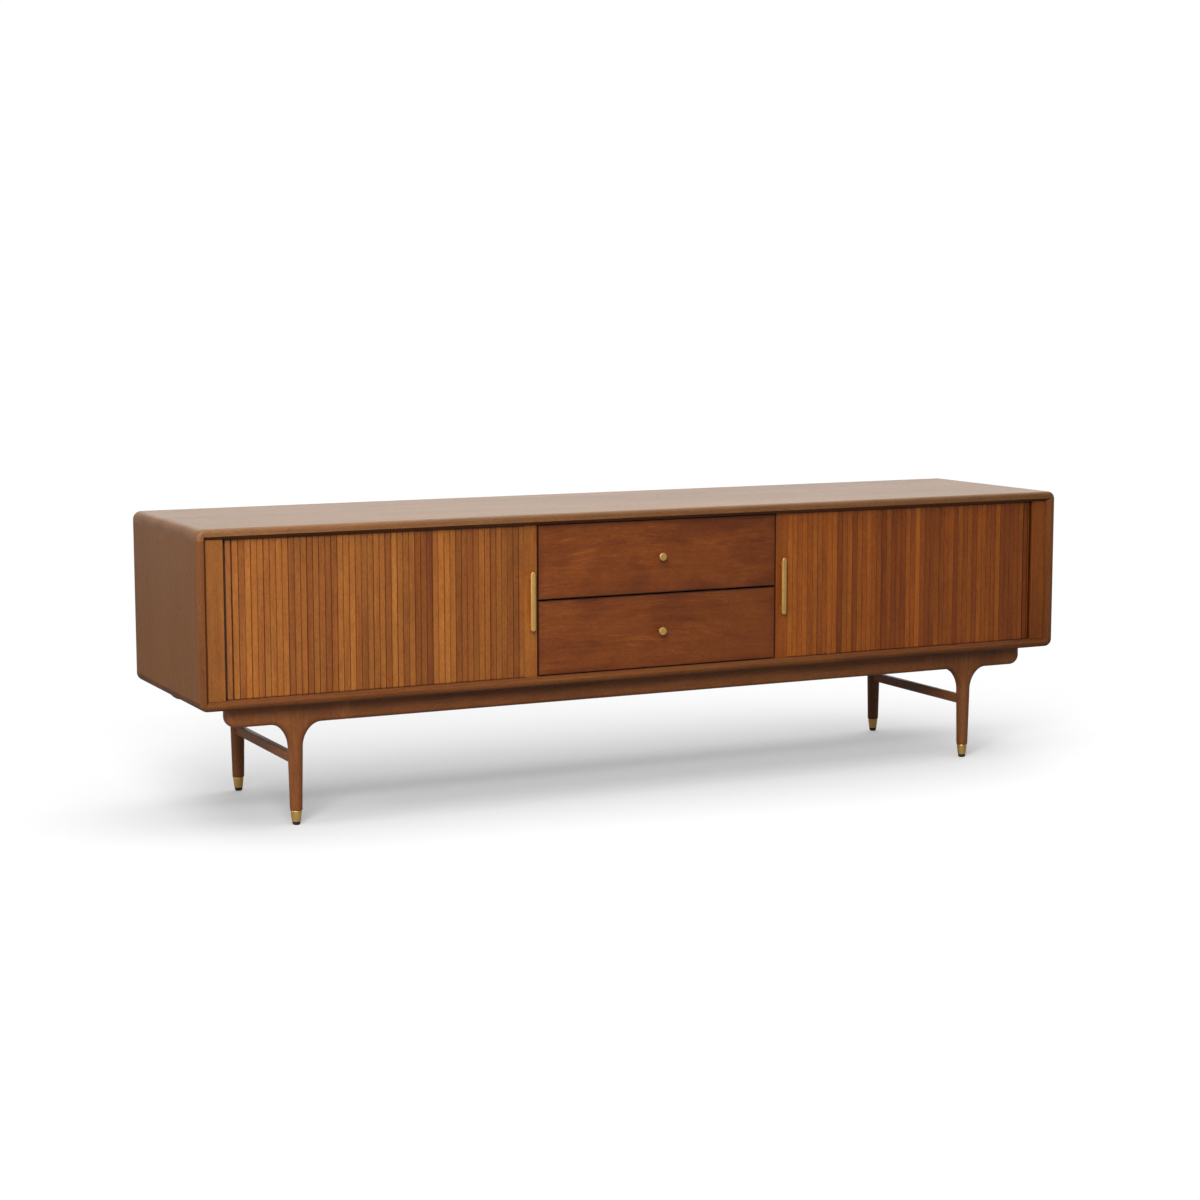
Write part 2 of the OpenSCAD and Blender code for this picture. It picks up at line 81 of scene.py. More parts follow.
# ------------------------------------------------------------------ sizes, from the frame
top_lo, top_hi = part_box("top_panel")
bot_lo, bot_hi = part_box("bottom_panel")
side_lo, side_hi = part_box("right_side_panel")
XO, YF, YB = top_hi.x, top_lo.y, top_hi.y
Z1, ZT, ZB, Z0 = top_hi.z, top_lo.z, bot_hi.z, bot_lo.z
XI = side_lo.x
stile_lo, stile_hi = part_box("right_lead_stile")
YD = stile_lo.y
TZ0, TZ1 = stile_lo.z, stile_hi.z
MIDZ = (ZT + ZB) / 2
leg_lo, leg_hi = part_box("front_right_leg")
rear_lo, rear_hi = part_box("rear_right_leg")
LEG_YF = (leg_lo.y + leg_hi.y) / 2
LEG_YR = (rear_lo.y + rear_hi.y) / 2
fer_lo, fer_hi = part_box("ferrules")
LEG_X = (fer_hi.x - 0.0112)
RAIL_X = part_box("front_rail")[1].x
STUB_X = leg_hi.x
RAIL_T = leg_hi.y - leg_lo.y
RAIL_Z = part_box("front_rail")[0].z

# ------------------------------------------------------------------ mesh helpers


def add_mesh(name, verts, faces, mat, smooth=True, angle=35):
    me = bpy.data.meshes.new(name)
    me.from_pydata([tuple(v) for v in verts], [], [tuple(f) for f in faces])
    me.validate()
    ob = bpy.data.objects.new(name, me)
    scene.collection.objects.link(ob)
    bm = bmesh.new()
    bm.from_mesh(me)
    bmesh.ops.remove_doubles(bm, verts=bm.verts, dist=2e-6)
    bmesh.ops.recalc_face_normals(bm, faces=bm.faces)
    bm.to_mesh(me)
    bm.free()
    if smooth:
        me.shade_smooth()
        me.set_sharp_from_angle(angle=math.radians(angle))
    me.materials.append(mat)
    return ob


def bake_modifiers(ob):
    dg = bpy.context.evaluated_depsgraph_get()
    bpy.context.view_layer.update()
    me = bpy.data.meshes.new_from_object(ob.evaluated_get(dg), preserve_all_data_layers=True, depsgraph=dg)
    ob.modifiers.clear()
    old = ob.data
    ob.data = me
    bpy.data.meshes.remove(old)
    return ob


def soften(ob, width, segments=2, angle=35, weld=False):
    if weld:
        w = ob.modifiers.new("weld", "WELD")
        w.merge_threshold = 1e-5
    b = ob.modifiers.new("edges", "BEVEL")
    b.width = width
    b.segments = segments
    b.limit_method = "ANGLE"
    b.angle_limit = math.radians(angle)
    b.harden_normals = False
    b.use_clamp_overlap = True
    n = ob.modifiers.new("normals", "WEIGHTED_NORMAL")
    n.keep_sharp = True
    n.weight = 80
    return ob


def loft(rings, closed=True, caps=True):
    """Faces through rings of equal length; returns verts, faces."""
    n = len(rings[0])
    verts = [p for ring in rings for p in ring]
    faces = []
    for k in range(len(rings) - 1):
        for i in range(n if closed else n - 1):
            j = (i + 1) % n
            faces.append((k * n + i, k * n + j, (k + 1) * n + j, (k + 1) * n + i))
    if caps:
        faces.append(tuple(range(n)))
        faces.append(tuple((len(rings) - 1) * n + i for i in reversed(range(n))))
    return verts, faces


def lathe(profile, at, axis="z", seg=40):
    """profile: (radius, height) pairs from end to end; closed on the axis at both ends."""
    verts, faces = [], []
    rows = []
    for r, h in profile:
        if r < 1e-7:
            rows.append([len(verts)])
            verts.append((0, 0, h))
        else:
            rows.append(list(range(len(verts), len(verts) + seg)))
            for k in range(seg):
                a = 2 * math.pi * k / seg
                verts.append((r * math.cos(a), r * math.sin(a), h))
    for a, b in zip(rows, rows[1:]):
        for k in range(seg):
            q = [a[k % len(a)], a[(k + 1) % len(a)], b[(k + 1) % len(b)], b[k % len(b)]]
            q = [v for i, v in enumerate(q) if v not in q[:i]]
            if len(q) > 2:
                faces.append(q)
    out = []
    for x, y, z in verts:
        if axis == "z":
            out.append((at[0] + x, at[1] + y, at[2] + z))
        else:  # along +Y
            out.append((at[0] + x, at[1] + z, at[2] - y))
    return out, faces


def merge(parts):
    verts, faces = [], []
    for v, f in parts:
        off = len(verts)
        verts += list(v)
        faces += [[i + off for i in q] for q in f]
    return verts, faces


def mirrored(part):
    v, f = part
    return [(-x, y, z) for x, y, z in v], [list(reversed(q)) for q in f]


# ------------------------------------------------------------------ materials


class Nodes:
    """A short way to write a material's node tree."""

    def __init__(self, name):
        self.mat = bpy.data.materials.new(name)
        self.mat.use_nodes = True
        self.t = self.mat.node_tree
        self.bsdf = next(n for n in self.t.nodes if n.type == "BSDF_PRINCIPLED")

    def put(self, socket, value):
        if value is None:
            return
        if isinstance(value, bpy.types.NodeSocket):
            self.t.links.new(value, socket)
        else:
            socket.default_value = value

    def node(self, kind, props=None, **inputs):
        n = self.t.nodes.new(kind)
        for k, v in (props or {}).items():
            setattr(n, k, v)
        for k, v in inputs.items():
            self.put(n.inputs[k.replace("_", " ")], v)
        return n

    def math(self, op, a, b=None, c=None, clamp=False):
        n = self.t.nodes.new("ShaderNodeMath")
        n.operation = op
        n.use_clamp = clamp
        self.put(n.inputs[0], a)
        if b is not None:
            self.put(n.inputs[1], b)
        if c is not None:
            self.put(n.inputs[2], c)
        return n.outputs[0]

    def vmath(self, op, a, b=None, scale=None):
        n = self.t.nodes.new("ShaderNodeVectorMath")
        n.operation = op
        self.put(n.inputs[0], a)
        if b is not None:
            self.put(n.inputs[1], b)
        if scale is not None:
            self.put(n.inputs["Scale"], scale)
        return n.outputs[0]

    def map_range(self, v, a, b, c, d, smooth=False):
        n = self.t.nodes.new("ShaderNodeMapRange")
        n.interpolation_type = "SMOOTHSTEP" if smooth else "LINEAR"
        for i, x in enumerate((v, a, b, c, d)):
            self.put(n.inputs[i], x)
        return n.outputs[0]

    def mix(self, fac, a, b, mode="MIX"):
        n = self.t.nodes.new("ShaderNodeMix")
        n.data_type = "RGBA"
        n.blend_type = mode
        n.clamp_result = False
        self.put(n.inputs["Factor"], fac)
        self.put(n.inputs["A"], a)
        self.put(n.inputs["B"], b)
        return n.outputs["Result"]

    def noise(self, vec, scale, detail=2.0, rough=0.5, distortion=0.0):
        n = self.node("ShaderNodeTexNoise", None, Vector=vec, Scale=scale, Detail=detail, Roughness=rough, Distortion=distortion)
        return n.outputs["Fac"]

    def scaled(self, vec, s, offset=(0, 0, 0)):
        n = self.node("ShaderNodeMapping", None, Vector=vec, Location=offset, Scale=s)
        return n.outputs[0]


def rgb(c):
    return (c[0], c[1], c[2], 1.0)


def wood(name, light, mid, dark, grain="x", rough=0.42, figure=0.35, streak=0.35, seed=0.0, tone_attr=None, spec=0.4, coords=None, ring=9.0, bump=1.0, broad=1.0, gap_shade=None, swirl=0.0):
    """Stained, satin-lacquered hardwood. grain is the axis the fibres run along."""
    m = Nodes(name)
    if coords:
        p = m.node("ShaderNodeAttribute", {"attribute_name": coords}).outputs["Vector"]
    else:
        p = m.node("ShaderNodeTexCoord").outputs["Object"]
    # along the grain things are long: bring the grain axis to the first component
    order = {"x": (0, 0, 0), "y": (0, 0, -math.pi / 2), "z": (0, math.pi / 2, 0)}[grain]
    turn = m.node("ShaderNodeMapping", None, Vector=p, Rotation=order, Location=(seed * 1.7, seed * 0.9, seed * 2.3))
    q = turn.outputs[0]
    if tone_attr:
        tone = m.node("ShaderNodeAttribute", {"attribute_name": tone_attr})
        tv = tone.outputs["Vector"]
        q = m.vmath("ADD", q, m.vmath("SCALE", tv, scale=7.0))
    # slow wander of the fibres
    warp = m.node("ShaderNodeTexNoise", None, Vector=m.scaled(q, (1.3, 5.0, 5.0)), Scale=1.0, Detail=2.0)
    w = m.vmath("SCALE", m.vmath("SUBTRACT", warp.outputs["Color"], (0.5, 0.5, 0.5)), scale=0.030)
    qw = m.vmath("ADD", q, w)
    # broad bands of early and late wood
    bands = m.noise(m.scaled(qw, (0.9, ring, ring)), 1.0, 3.0, 0.55)
    rings = m.node("ShaderNodeTexWave", {"wave_type": "BANDS", "bands_direction": "Y", "wave_profile": "SIN"},
                   Vector=m.scaled(qw, (0.35, 1.0, 0.6)), Scale=ring * 2.2, Distortion=9.0, Detail=2.5,
                   **{"Detail_Scale": 0.8}).outputs["Fac"]
    cloud = m.noise(m.scaled(q, (2.2, 6.0, 6.0)), 1.0, 2.0, 0.5)
    fibres = m.noise(m.scaled(qw, (14.0, 420.0, 420.0)), 1.0, 3.0, 0.6)
    coarse = m.noise(m.scaled(qw, (5.0, 130.0, 130.0)), 1.0, 2.0, 0.55)
    pores_n = m.noise(m.scaled(qw, (70.0, 1300.0, 1300.0)), 1.0, 1.0, 0.4)
    pores = m.map_range(pores_n, 0.60, 0.72, 0.0, 1.0, smooth=True)
    fleck_n = m.noise(m.scaled(qw, (130.0, 420.0, 420.0)), 1.0, 2.0, 0.6)
    fleck = m.map_range(fleck_n, 0.42, 0.66, 0.0, 1.0, smooth=True)
    f = m.math("MULTIPLY", m.math("SUBTRACT", bands, 0.5), 1.6 * broad)
    f = m.math("ADD", f, m.math("MULTIPLY", m.math("SUBTRACT", rings, 0.5), figure * 0.55))
    f = m.math("ADD", f, m.math("MULTIPLY", m.math("SUBTRACT", coarse, 0.5), streak * 1.7))
    f = m.math("ADD", f, m.math("MULTIPLY", m.math("SUBTRACT", fibres, 0.5), streak * 1.5))
    f = m.math("ADD", m.math("MULTIPLY", f, 0.85), 0.5, clamp=True)
    ramp = m.node("ShaderNodeValToRGB", None, Fac=f)
    e = ramp.color_ramp.elements
    e[0].position, e[0].color = 0.08, rgb(dark)
    e[1].position, e[1].color = 0.92, rgb(light)
    k = ramp.color_ramp.elements.new(0.5)
    k.color = rgb(mid)
    col = ramp.outputs["Color"]
    # cooler and warmer patches
    warm = m.map_range(cloud, 0.35, 0.65, 0.0, 1.0, smooth=True)
    col = m.mix(m.math("MULTIPLY", warm, 0.35 if not swirl else 0.12), col, m.mix(1.0, col, (1.10, 0.90, 0.80, 1.0), "MULTIPLY"))
    if swirl:
        # pale lines that run with the grain and sweep up into cathedral arches
        far = m.node("ShaderNodeTexNoise", None, Vector=m.scaled(q, (1.9, 4.2, 4.2)), Scale=1.0, Detail=1.0)
        qs = m.vmath("ADD", q, m.vmath("SCALE", m.vmath("SUBTRACT", far.outputs["Color"], (0.5, 0.5, 0.5)), scale=0.16))
        hair = m.map_range(m.noise(m.scaled(qs, (7.0, 175.0, 175.0)), 1.0, 2.0, 0.6), 0.50, 0.70, 0.0, 1.0, smooth=True)
        gate = m.map_range(m.noise(m.scaled(q, (5.0, 11.0, 11.0)), 1.0, 2.0, 0.5), 0.38, 0.62, 0.15, 1.0, smooth=True)
        col = m.mix(m.math("MULTIPLY", m.math("MULTIPLY", hair, gate), 0.62 * swirl), col, m.mix(1.0, col, (1.55, 1.75, 2.1, 1.0), "MULTIPLY"))
        dusk = m.map_range(m.noise(m.scaled(qs, (4.0, 90.0, 90.0)), 1.0, 2.0, 0.55), 0.50, 0.75, 0.0, 1.0, smooth=True)
        col = m.mix(m.math("MULTIPLY", dusk, 0.40 * swirl), col, m.mix(1.0, col, (0.72, 0.64, 0.58, 1.0), "MULTIPLY"))
    if tone_attr:
        sep = m.node("ShaderNodeSeparateXYZ", None, Vector=tone.outputs["Vector"])
        # darker and redder, or paler and yellower, from one slat to the next
        red = m.mix(1.0, col, (0.66, 0.56, 0.49, 1.0), "MULTIPLY")
        pale = m.mix(1.0, col, (1.20, 1.25, 1.28, 1.0), "MULTIPLY")
        col = m.mix(m.map_range(sep.outputs[0], 0.52, 1.0, 0.0, 1.0), col, red)
        col = m.mix(m.map_range(sep.outputs[0], 0.48, 0.0, 0.0, 1.0), col, pale)
    mottle = m.map_range(m.noise(m.scaled(q, (120.0, 260.0, 260.0)), 1.0, 3.0, 0.7), 0.38, 0.62, 0.0, 1.0)
    col = m.mix(m.math("MULTIPLY", mottle, 0.55), col, m.mix(1.0, col, (1.34, 1.37, 1.40, 1.0), "MULTIPLY"))
    col = m.mix(m.math("MULTIPLY", fleck, 0.30), col, m.mix(1.0, col, (0.66, 0.60, 0.55, 1.0), "MULTIPLY"))
    col = m.mix(m.math("MULTIPLY", pores, 0.42), col, m.mix(1.0, col, (0.42, 0.36, 0.32, 1.0), "MULTIPLY"))
    # painted shade: the slats darken almost to black just above the bottom groove and just below the top, where they
    # run into the grooves' shadow
    if tone_attr:
        height = m.node("ShaderNodeSeparateXYZ", None, Vector=p).outputs[2]
        edge = m.math("MAXIMUM", m.map_range(height, ZB + 0.0005, ZB + 0.0032, 1.0, 0.0, smooth=True), m.map_range(height, ZT - 0.0045, ZT - 0.0008, 0.0, 1.0, smooth=True))
        col = m.mix(m.math("MULTIPLY", edge, 0.85), col, m.mix(1.0, col, (0.16, 0.11, 0.09, 1.0), "MULTIPLY"))
    if gap_shade:
        # painted shade: a dark line along the outer edges of a front and a soft darkening towards them, for the shadow
        # in the gaps around it
        lo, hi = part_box(gap_shade)
        xyz = m.node("ShaderNodeSeparateXYZ", None, Vector=p)
        half, mid = ((hi.x - lo.x) / 2, (hi.z - lo.z) / 2), ((hi.x + lo.x) / 2, (hi.z + lo.z) / 2)
        ex = m.math("SUBTRACT", half[0], m.math("ABSOLUTE", m.math("SUBTRACT", xyz.outputs[0], mid[0])))
        ez = m.math("SUBTRACT", half[1], m.math("ABSOLUTE", m.math("SUBTRACT", xyz.outputs[2], mid[1])))
        near = m.map_range(m.math("MINIMUM", ex, ez), 0.0008, 0.0026, 1.0, 0.0, smooth=True)
        soft = m.map_range(m.math("MINIMUM", ex, ez), 0.0, 0.018, 0.20, 0.0, smooth=True)
        # the painted shade is strongest on the show side and weaker on the edges behind it
        near = m.math("MULTIPLY", near, m.map_range(xyz.outputs[1], lo.y + 0.0010, lo.y + 0.0035, 1.0, 0.30, smooth=True))
        col = m.mix(m.math("MAXIMUM", m.math("MULTIPLY", near, 0.94), soft), col, m.mix(1.0, col, (0.10, 0.07, 0.06, 1.0), "MULTIPLY"))
        # painted shade: the front darkens from left to right, for the light falling off away from the left
        dim = m.map_range(xyz.outputs[0], mid[0] - half[0], mid[0] + half[0], 0.0, 0.30)
        col = m.mix(dim, col, m.mix(1.0, col, (0.50, 0.42, 0.36, 1.0), "MULTIPLY"))
    if tone_attr:
        # painted shade: dark lines along each slat's edges, for the shadow in the gaps between slats
        line = m.node("ShaderNodeAttribute", {"attribute_name": "gap_shade"}).outputs["Fac"]
        col = m.mix(line, col, m.mix(1.0, col, (0.20, 0.095, 0.05, 1.0), "MULTIPLY"))
    # handling has polished and lightened the corners a little
    point = m.node("ShaderNodeNewGeometry").outputs["Pointiness"]
    worn = m.math("MULTIPLY", m.map_range(point, 0.515, 0.60, 0.0, 1.0, smooth=True), m.map_range(m.noise(q, 40.0, 2.0), 0.4, 0.65, 0.2, 1.0))
    col = m.mix(m.math("MULTIPLY", worn, 0.22), col, m.mix(1.0, col, (1.5, 1.55, 1.6, 1.0), "MULTIPLY"))
    m.put(m.bsdf.inputs["Base Color"], col)
    r = m.math("ADD", rough - 0.06, m.math("MULTIPLY", fibres, 0.10))
    r = m.math("ADD", r, m.math("MULTIPLY", pores, 0.12))
    r = m.math("ADD", r, m.math("MULTIPLY", m.noise(q, 9.0, 2.0), 0.05))
    m.put(m.bsdf.inputs["Roughness"], r)
    m.bsdf.inputs["Specular IOR Level"].default_value = spec
    h = m.math("SUBTRACT", m.math("MULTIPLY", fibres, 0.6), m.math("MULTIPLY", pores, 0.9))
    h = m.math("ADD", h, m.math("MULTIPLY", coarse, 0.35))
    b = m.node("ShaderNodeBump", None, Strength=0.22 * bump, Distance=0.0006, Height=h)
    m.put(m.bsdf.inputs["Normal"], b.outputs[0])
    return m.mat


def metal(name, color, rough, grain, brushed=0.5, tarnish=0.12):
    """Brushed metal: fine scratches along one axis, with a little tarnish."""
    m = Nodes(name)
    p = m.node("ShaderNodeTexCoord").outputs["Object"]
    s = {"x": (60.0, 6000.0, 6000.0), "y": (6000.0, 60.0, 6000.0), "z": (6000.0, 6000.0, 60.0), "round": (2500.0, 2500.0, 6000.0)}[grain]
    lines = m.noise(m.scaled(p, s), 1.0, 2.0, 0.6)
    blotch = m.noise(p, 90.0, 4.0, 0.6)
    fine = m.noise(p, 700.0, 2.0, 0.5)
    col = m.mix(m.math("MULTIPLY", m.map_range(blotch, 0.35, 0.7, 0.0, 1.0, smooth=True), tarnish * 2.2),
                rgb(color), rgb([c * k for c, k in zip(color, (0.66, 0.56, 0.42))]))
    col = m.mix(m.math("MULTIPLY", m.map_range(lines, 0.3, 0.7, 0.0, 1.0), 0.14), col, rgb([min(1, c * 1.18) for c in color]))
    m.put(m.bsdf.inputs["Base Color"], col)
    m.bsdf.inputs["Metallic"].default_value = 1.0
    r = m.math("ADD", rough - 0.08, m.math("MULTIPLY", lines, 0.12))
    r = m.math("ADD", r, m.math("MULTIPLY", blotch, 0.08))
    m.put(m.bsdf.inputs["Roughness"], r)
    h = m.math("ADD", m.math("MULTIPLY", lines, 1.0), m.math("MULTIPLY", fine, 0.25))
    b = m.node("ShaderNodeBump", None, Strength=0.10 * brushed * 2, Distance=0.0002, Height=h)
    m.put(m.bsdf.inputs["Normal"], b.outputs[0])
    return m.mat


def plastic(name, color, rough):
    m = Nodes(name)
    p = m.node("ShaderNodeTexCoord").outputs["Object"]
    grain = m.noise(p, 2600.0, 2.0, 0.5)
    dust = m.noise(p, 120.0, 4.0, 0.65)
    low = m.map_range(dust, 0.5, 0.8, 0.0, 0.5, smooth=True)
    col = m.mix(low, rgb(color), rgb([c * 1.7 + 0.012 for c in color]))
    m.put(m.bsdf.inputs["Base Color"], col)
    m.put(m.bsdf.inputs["Roughness"], m.math("ADD", rough, m.math("MULTIPLY", dust, 0.15)))
    b = m.node("ShaderNodeBump", None, Strength=0.25, Distance=0.0002, Height=grain)
    m.put(m.bsdf.inputs["Normal"], b.outputs[0])
    return m.mat


def weave(name, color, pitch=0.0011):
    """Plain-woven cotton canvas in the X, Z plane."""
    m = Nodes(name)
    p = m.node("ShaderNodeTexCoord").outputs["Object"]
    sep = m.node("ShaderNodeSeparateXYZ", None, Vector=p)
    wob = m.math("MULTIPLY", m.noise(p, 60.0, 2.0), 0.0006)
    k = 2 * math.pi / pitch / 2
    a = m.math("SINE", m.math("MULTIPLY", m.math("ADD", m.math("ADD", sep.outputs[0], sep.outputs[1]), wob), k))
    c = m.math("SINE", m.math("MULTIPLY", m.math("ADD", sep.outputs[2], wob), k))
    over = m.math("MULTIPLY", a, c)
    h = m.math("ADD", m.math("ABSOLUTE", a), m.math("ABSOLUTE", c))
    h = m.math("ADD", h, m.math("MULTIPLY", over, 0.5))
    slub = m.noise(m.scaled(p, (40.0, 40.0, 900.0)), 1.0, 2.0)
    tone = m.math("ADD", m.math("MULTIPLY", h, 0.28), m.math("MULTIPLY", slub, 0.5), clamp=True)
    col = m.mix(tone, rgb([v * 0.55 for v in color]), rgb([min(1, v * 1.25) for v in color]))
    m.put(m.bsdf.inputs["Base Color"], col)
    m.bsdf.inputs["Roughness"].default_value = 0.92
    m.bsdf.inputs["Sheen Weight"].default_value = 0.2
    b = m.node("ShaderNodeBump", None, Strength=0.6, Distance=0.0003, Height=h)
    m.put(m.bsdf.inputs["Normal"], b.outputs[0])
    return m.mat


# stain colours, linear; LT, MT, DT also hold the top's painted sheen, and LR, MR, DR are a darker, redder copy of LS,
# MS, DS that paints the light falling off towards the right
L1, M1, D1 = (0.252, 0.086, 0.020), (0.190, 0.060, 0.012), (0.120, 0.034, 0.007)
LT, MT, DT = (0.232, 0.118, 0.040), (0.180, 0.090, 0.028), (0.122, 0.058, 0.018)
LV, MV, DV = (0.222, 0.085, 0.017), (0.176, 0.064, 0.011), (0.124, 0.042, 0.007)
LS, MS, DS = (0.372, 0.136, 0.021), (0.286, 0.093, 0.0115), (0.184, 0.050, 0.006)
LR, MR, DR = (0.318, 0.090, 0.007), (0.232, 0.0575, 0.004), (0.144, 0.031, 0.0025)
LD, MD, DD = (0.212, 0.052, 0.006), (0.165, 0.037, 0.0035), (0.105, 0.021, 0.0025)
LP, MP, DP = (0.70, 0.50, 0.29), (0.60, 0.41, 0.23), (0.48, 0.31, 0.16)


def times(c, k):
    return tuple(v * k for v in c)


# painted sheen: the top's paler, yellower LT, MT, DT are the stain with the grazing reflection of the bright room
# painted in
W_TOP = wood("top_wood_stain_and_painted_sheen", LT, MT, DT, "x", 0.40, seed=1.0, figure=0.3, spec=0.38)
W_SIDE = wood("stained_wood_upright", LV, MV, DV, "z", 0.48, seed=2.0, figure=0.3, streak=0.2, broad=0.6, spec=0.38)
W_SIDE_R = wood("stained_wood_upright_b", L1, M1, D1, "z", 0.42, seed=5.5, figure=0.3)
W_TOP_EDGE = wood("stained_wood_top_edge", (0.220, 0.098, 0.034), (0.168, 0.072, 0.023), (0.112, 0.045, 0.014), "x", 0.44, seed=1.3, figure=0.3, spec=0.32)
W_SIDE_EDGE = wood("stained_wood_side_edge", times(L1, 0.78), times(M1, 0.80), times(D1, 0.85), "z", 0.48, seed=2.6, figure=0.3, spec=0.28)
# painted shade: darker copies of the case wood for the flared mouth's faces, the underside at the top and the inward
# faces at the sides, which sit in shade
W_LIP_X = wood("lip_painted_shade_x", times(L1, 0.42), times(M1, 0.40), times(D1, 0.38), "x", 0.5, seed=18.0)
W_LIP_Z = wood("lip_painted_shade_z", times(L1, 0.72), times(M1, 0.70), times(D1, 0.66), "z", 0.6, seed=19.0, spec=0.12)
W_BOTTOM = wood("stained_wood_bottom", times(L1, 0.72), times(M1, 0.70), times(D1, 0.66), "x", 0.5, seed=20.0, spec=0.25, figure=0.25)
W_SHELF = wood("stained_wood_inside", L1, M1, D1, "x", 0.46, seed=3.0)
W_INSIDE = wood("stained_wood_inside_upright", L1, M1, D1, "z", 0.46, seed=4.0)
W_DEEP = wood("stained_wood_depth", L1, M1, D1, "y", 0.44, seed=4.4)
# painted shade: the right door's slats, lead stile and end panel take a darker, redder copy of the left door's wood,
# for the light falling off towards the right
W_SLAT = {
    "left": wood("slat_wood_left", LS, MS, DS, "z", 0.42, seed=6.0, tone_attr="tone", coords="rest", figure=0.25, streak=0.30, ring=22.0),
    "right": wood("slat_wood_right_painted_shade", LR, MR, DR, "z", 0.42, seed=6.6, tone_attr="tone", coords="rest", figure=0.25, streak=0.30, ring=22.0),
}
W_LEAD = {"left": wood("lead_stile_wood_left", LS, MS, DS, "z", 0.42, seed=7.0, figure=0.3),
          "right": wood("lead_stile_wood_right_painted_shade", LR, MR, DR, "z", 0.42, seed=7.7, figure=0.3)}
W_END = {"left": wood("end_panel_wood_left", times(LS, 0.90), times(MS, 0.86), times(DS, 0.90), "z", 0.42, seed=8.0, figure=0.3),
         "right": wood("end_panel_wood_right_painted_shade", times(LR, 0.78), times(MR, 0.76), times(DR, 0.76), "z", 0.42, seed=8.8, figure=0.3)}
W_DRAW_U = wood("drawer_wood_upper", LD, MD, DD, "x", 0.42, seed=9.0, figure=0.9, streak=0.42, ring=9.0, broad=0.3, gap_shade="upper_drawer_front", swirl=1.0)
W_DRAW_L = wood("drawer_wood_lower", LD, MD, DD, "x", 0.42, seed=12.0, figure=0.9, streak=0.42, ring=7.0, broad=0.3, gap_shade="lower_drawer_front", swirl=1.0)
W_RAIL = wood("base_wood_along_x", L1, M1, D1, "x", 0.42, seed=13.0, figure=0.25)
W_LEG = wood("base_wood_upright", L1, M1, D1, "z", 0.42, seed=14.0, figure=0.25)
W_PLY = wood("birch_ply", LP, MP, DP, "x", 0.45, seed=15.0, figure=0.25, streak=0.2)
W_PLY_Y = wood("birch_ply_depth", LP, MP, DP, "y", 0.45, seed=16.0, figure=0.25, streak=0.2)
W_BEECH = wood("raw_beech", LP, MP, DP, "z", 0.6, seed=17.0, figure=0.2, streak=0.25)
BRASS = (1.0, 0.635, 0.205)
M_BRASS_Z = metal("brushed_brass_upright", BRASS, 0.44, "z")
# painted shade: a near-black brass for the knob's neck, for the shadow behind the knob head
M_BRASS_NECK_SHADE = metal("brass_neck_painted_shade", (0.20, 0.105, 0.035), 0.5, "round")
M_BRASS_R = metal("turned_brass", BRASS, 0.42, "round")
M_STEEL = metal("zinc_steel", (0.62, 0.62, 0.60), 0.38, "y", tarnish=0.08)
M_BLACK = plastic("dark_plastic", (0.022, 0.019, 0.017), 0.5)
# the canvas is a dark brown so that the gaps between slats show dark, painted shade in part
M_CANVAS = weave("cotton_canvas", (0.085, 0.055, 0.035))

# ------------------------------------------------------------------ case panels

EDGE, CORNER, REAR, FLARE_W, FLARE_D = 0.009, 0.017, 0.003, 0.007, 0.012


def stations():
    """Positions from front to back with the inset of the outer skin and of the flared mouth."""
    out = []
    for k in range(10):
        a = math.radians(10 * k)
        out.append((YF + EDGE * (1 - math.cos(a)), EDGE * (1 - math.sin(a))))
    out.append((YF + FLARE_D, 0.0))
    for k in range(5):
        a = math.radians(22.5 * k)
        out.append((YB - REAR * (1 - math.sin(a)), REAR * (1 - math.cos(a))))
    return [(y, d, max(0.0, FLARE_W * (1 - (y - YF) / FLARE_D))) for y, d in out]


def long_panel(top):
    """The top or bottom panel with its rounded ends, as rings through the stations."""
    rings = []
    for y, d, fl in stations():
        r = CORNER - d
        ring = []
        zo = (Z1 - d) if top else (Z0 + d)
        s = 1 if top else -1
        joint = ZT if top else ZB
        xo = XO - d
        # outer side: left joint, round the left corner, across, round the right corner, right joint
        ring.append((-xo, y, joint))
        for k in range(9):
            a = math.radians(11.25 * k)
            ring.append((-xo + r * (1 - math.cos(a)), y, zo - s * r * (1 - math.sin(a))))
        for k in range(9):
            a = math.radians(90 - 11.25 * k)
            ring.append((xo - r * (1 - math.cos(a)), y, zo - s * r * (1 - math.sin(a))))
        ring.append((xo, y, joint))
        e = max(fl, 1e-5)
        ring.append((XI + e, y, joint))
        ring.append((XI + e, y, joint + s * e))
        ring.append((-XI - e, y, joint + s * e))
        ring.append((-XI - e, y, joint))
        rings.append(ring)
    return loft(rings)


def side_rings(sign):
    rings = []
    for y, d, fl in stations():
        a, b = sign * (XI + fl), sign * (XO - d)
        rings.append([(a, y, ZB), (b, y, ZB), (b, y, ZT), (a, y, ZT)])
    return loft(rings)


BEND_R = 0.036
SLAT_T = 0.008
PITCH_S = 0.01257
N_FLAT, N_BENT = 49, 5
LEAD_IN, LEAD_OUT = stile_lo.x, stile_hi.x
BEND_X = LEAD_OUT + N_FLAT * PITCH_S
BEND_YF = YD + SLAT_T + BEND_R
BEND_YB = 0.158


def arc(cx, cy, r, a0, a1, n):
    return [(cx + r * math.cos(math.radians(a0 + (a1 - a0) * k / n)), cy + r * math.sin(math.radians(a0 + (a1 - a0) * k / n))) for k in range(n + 1)]


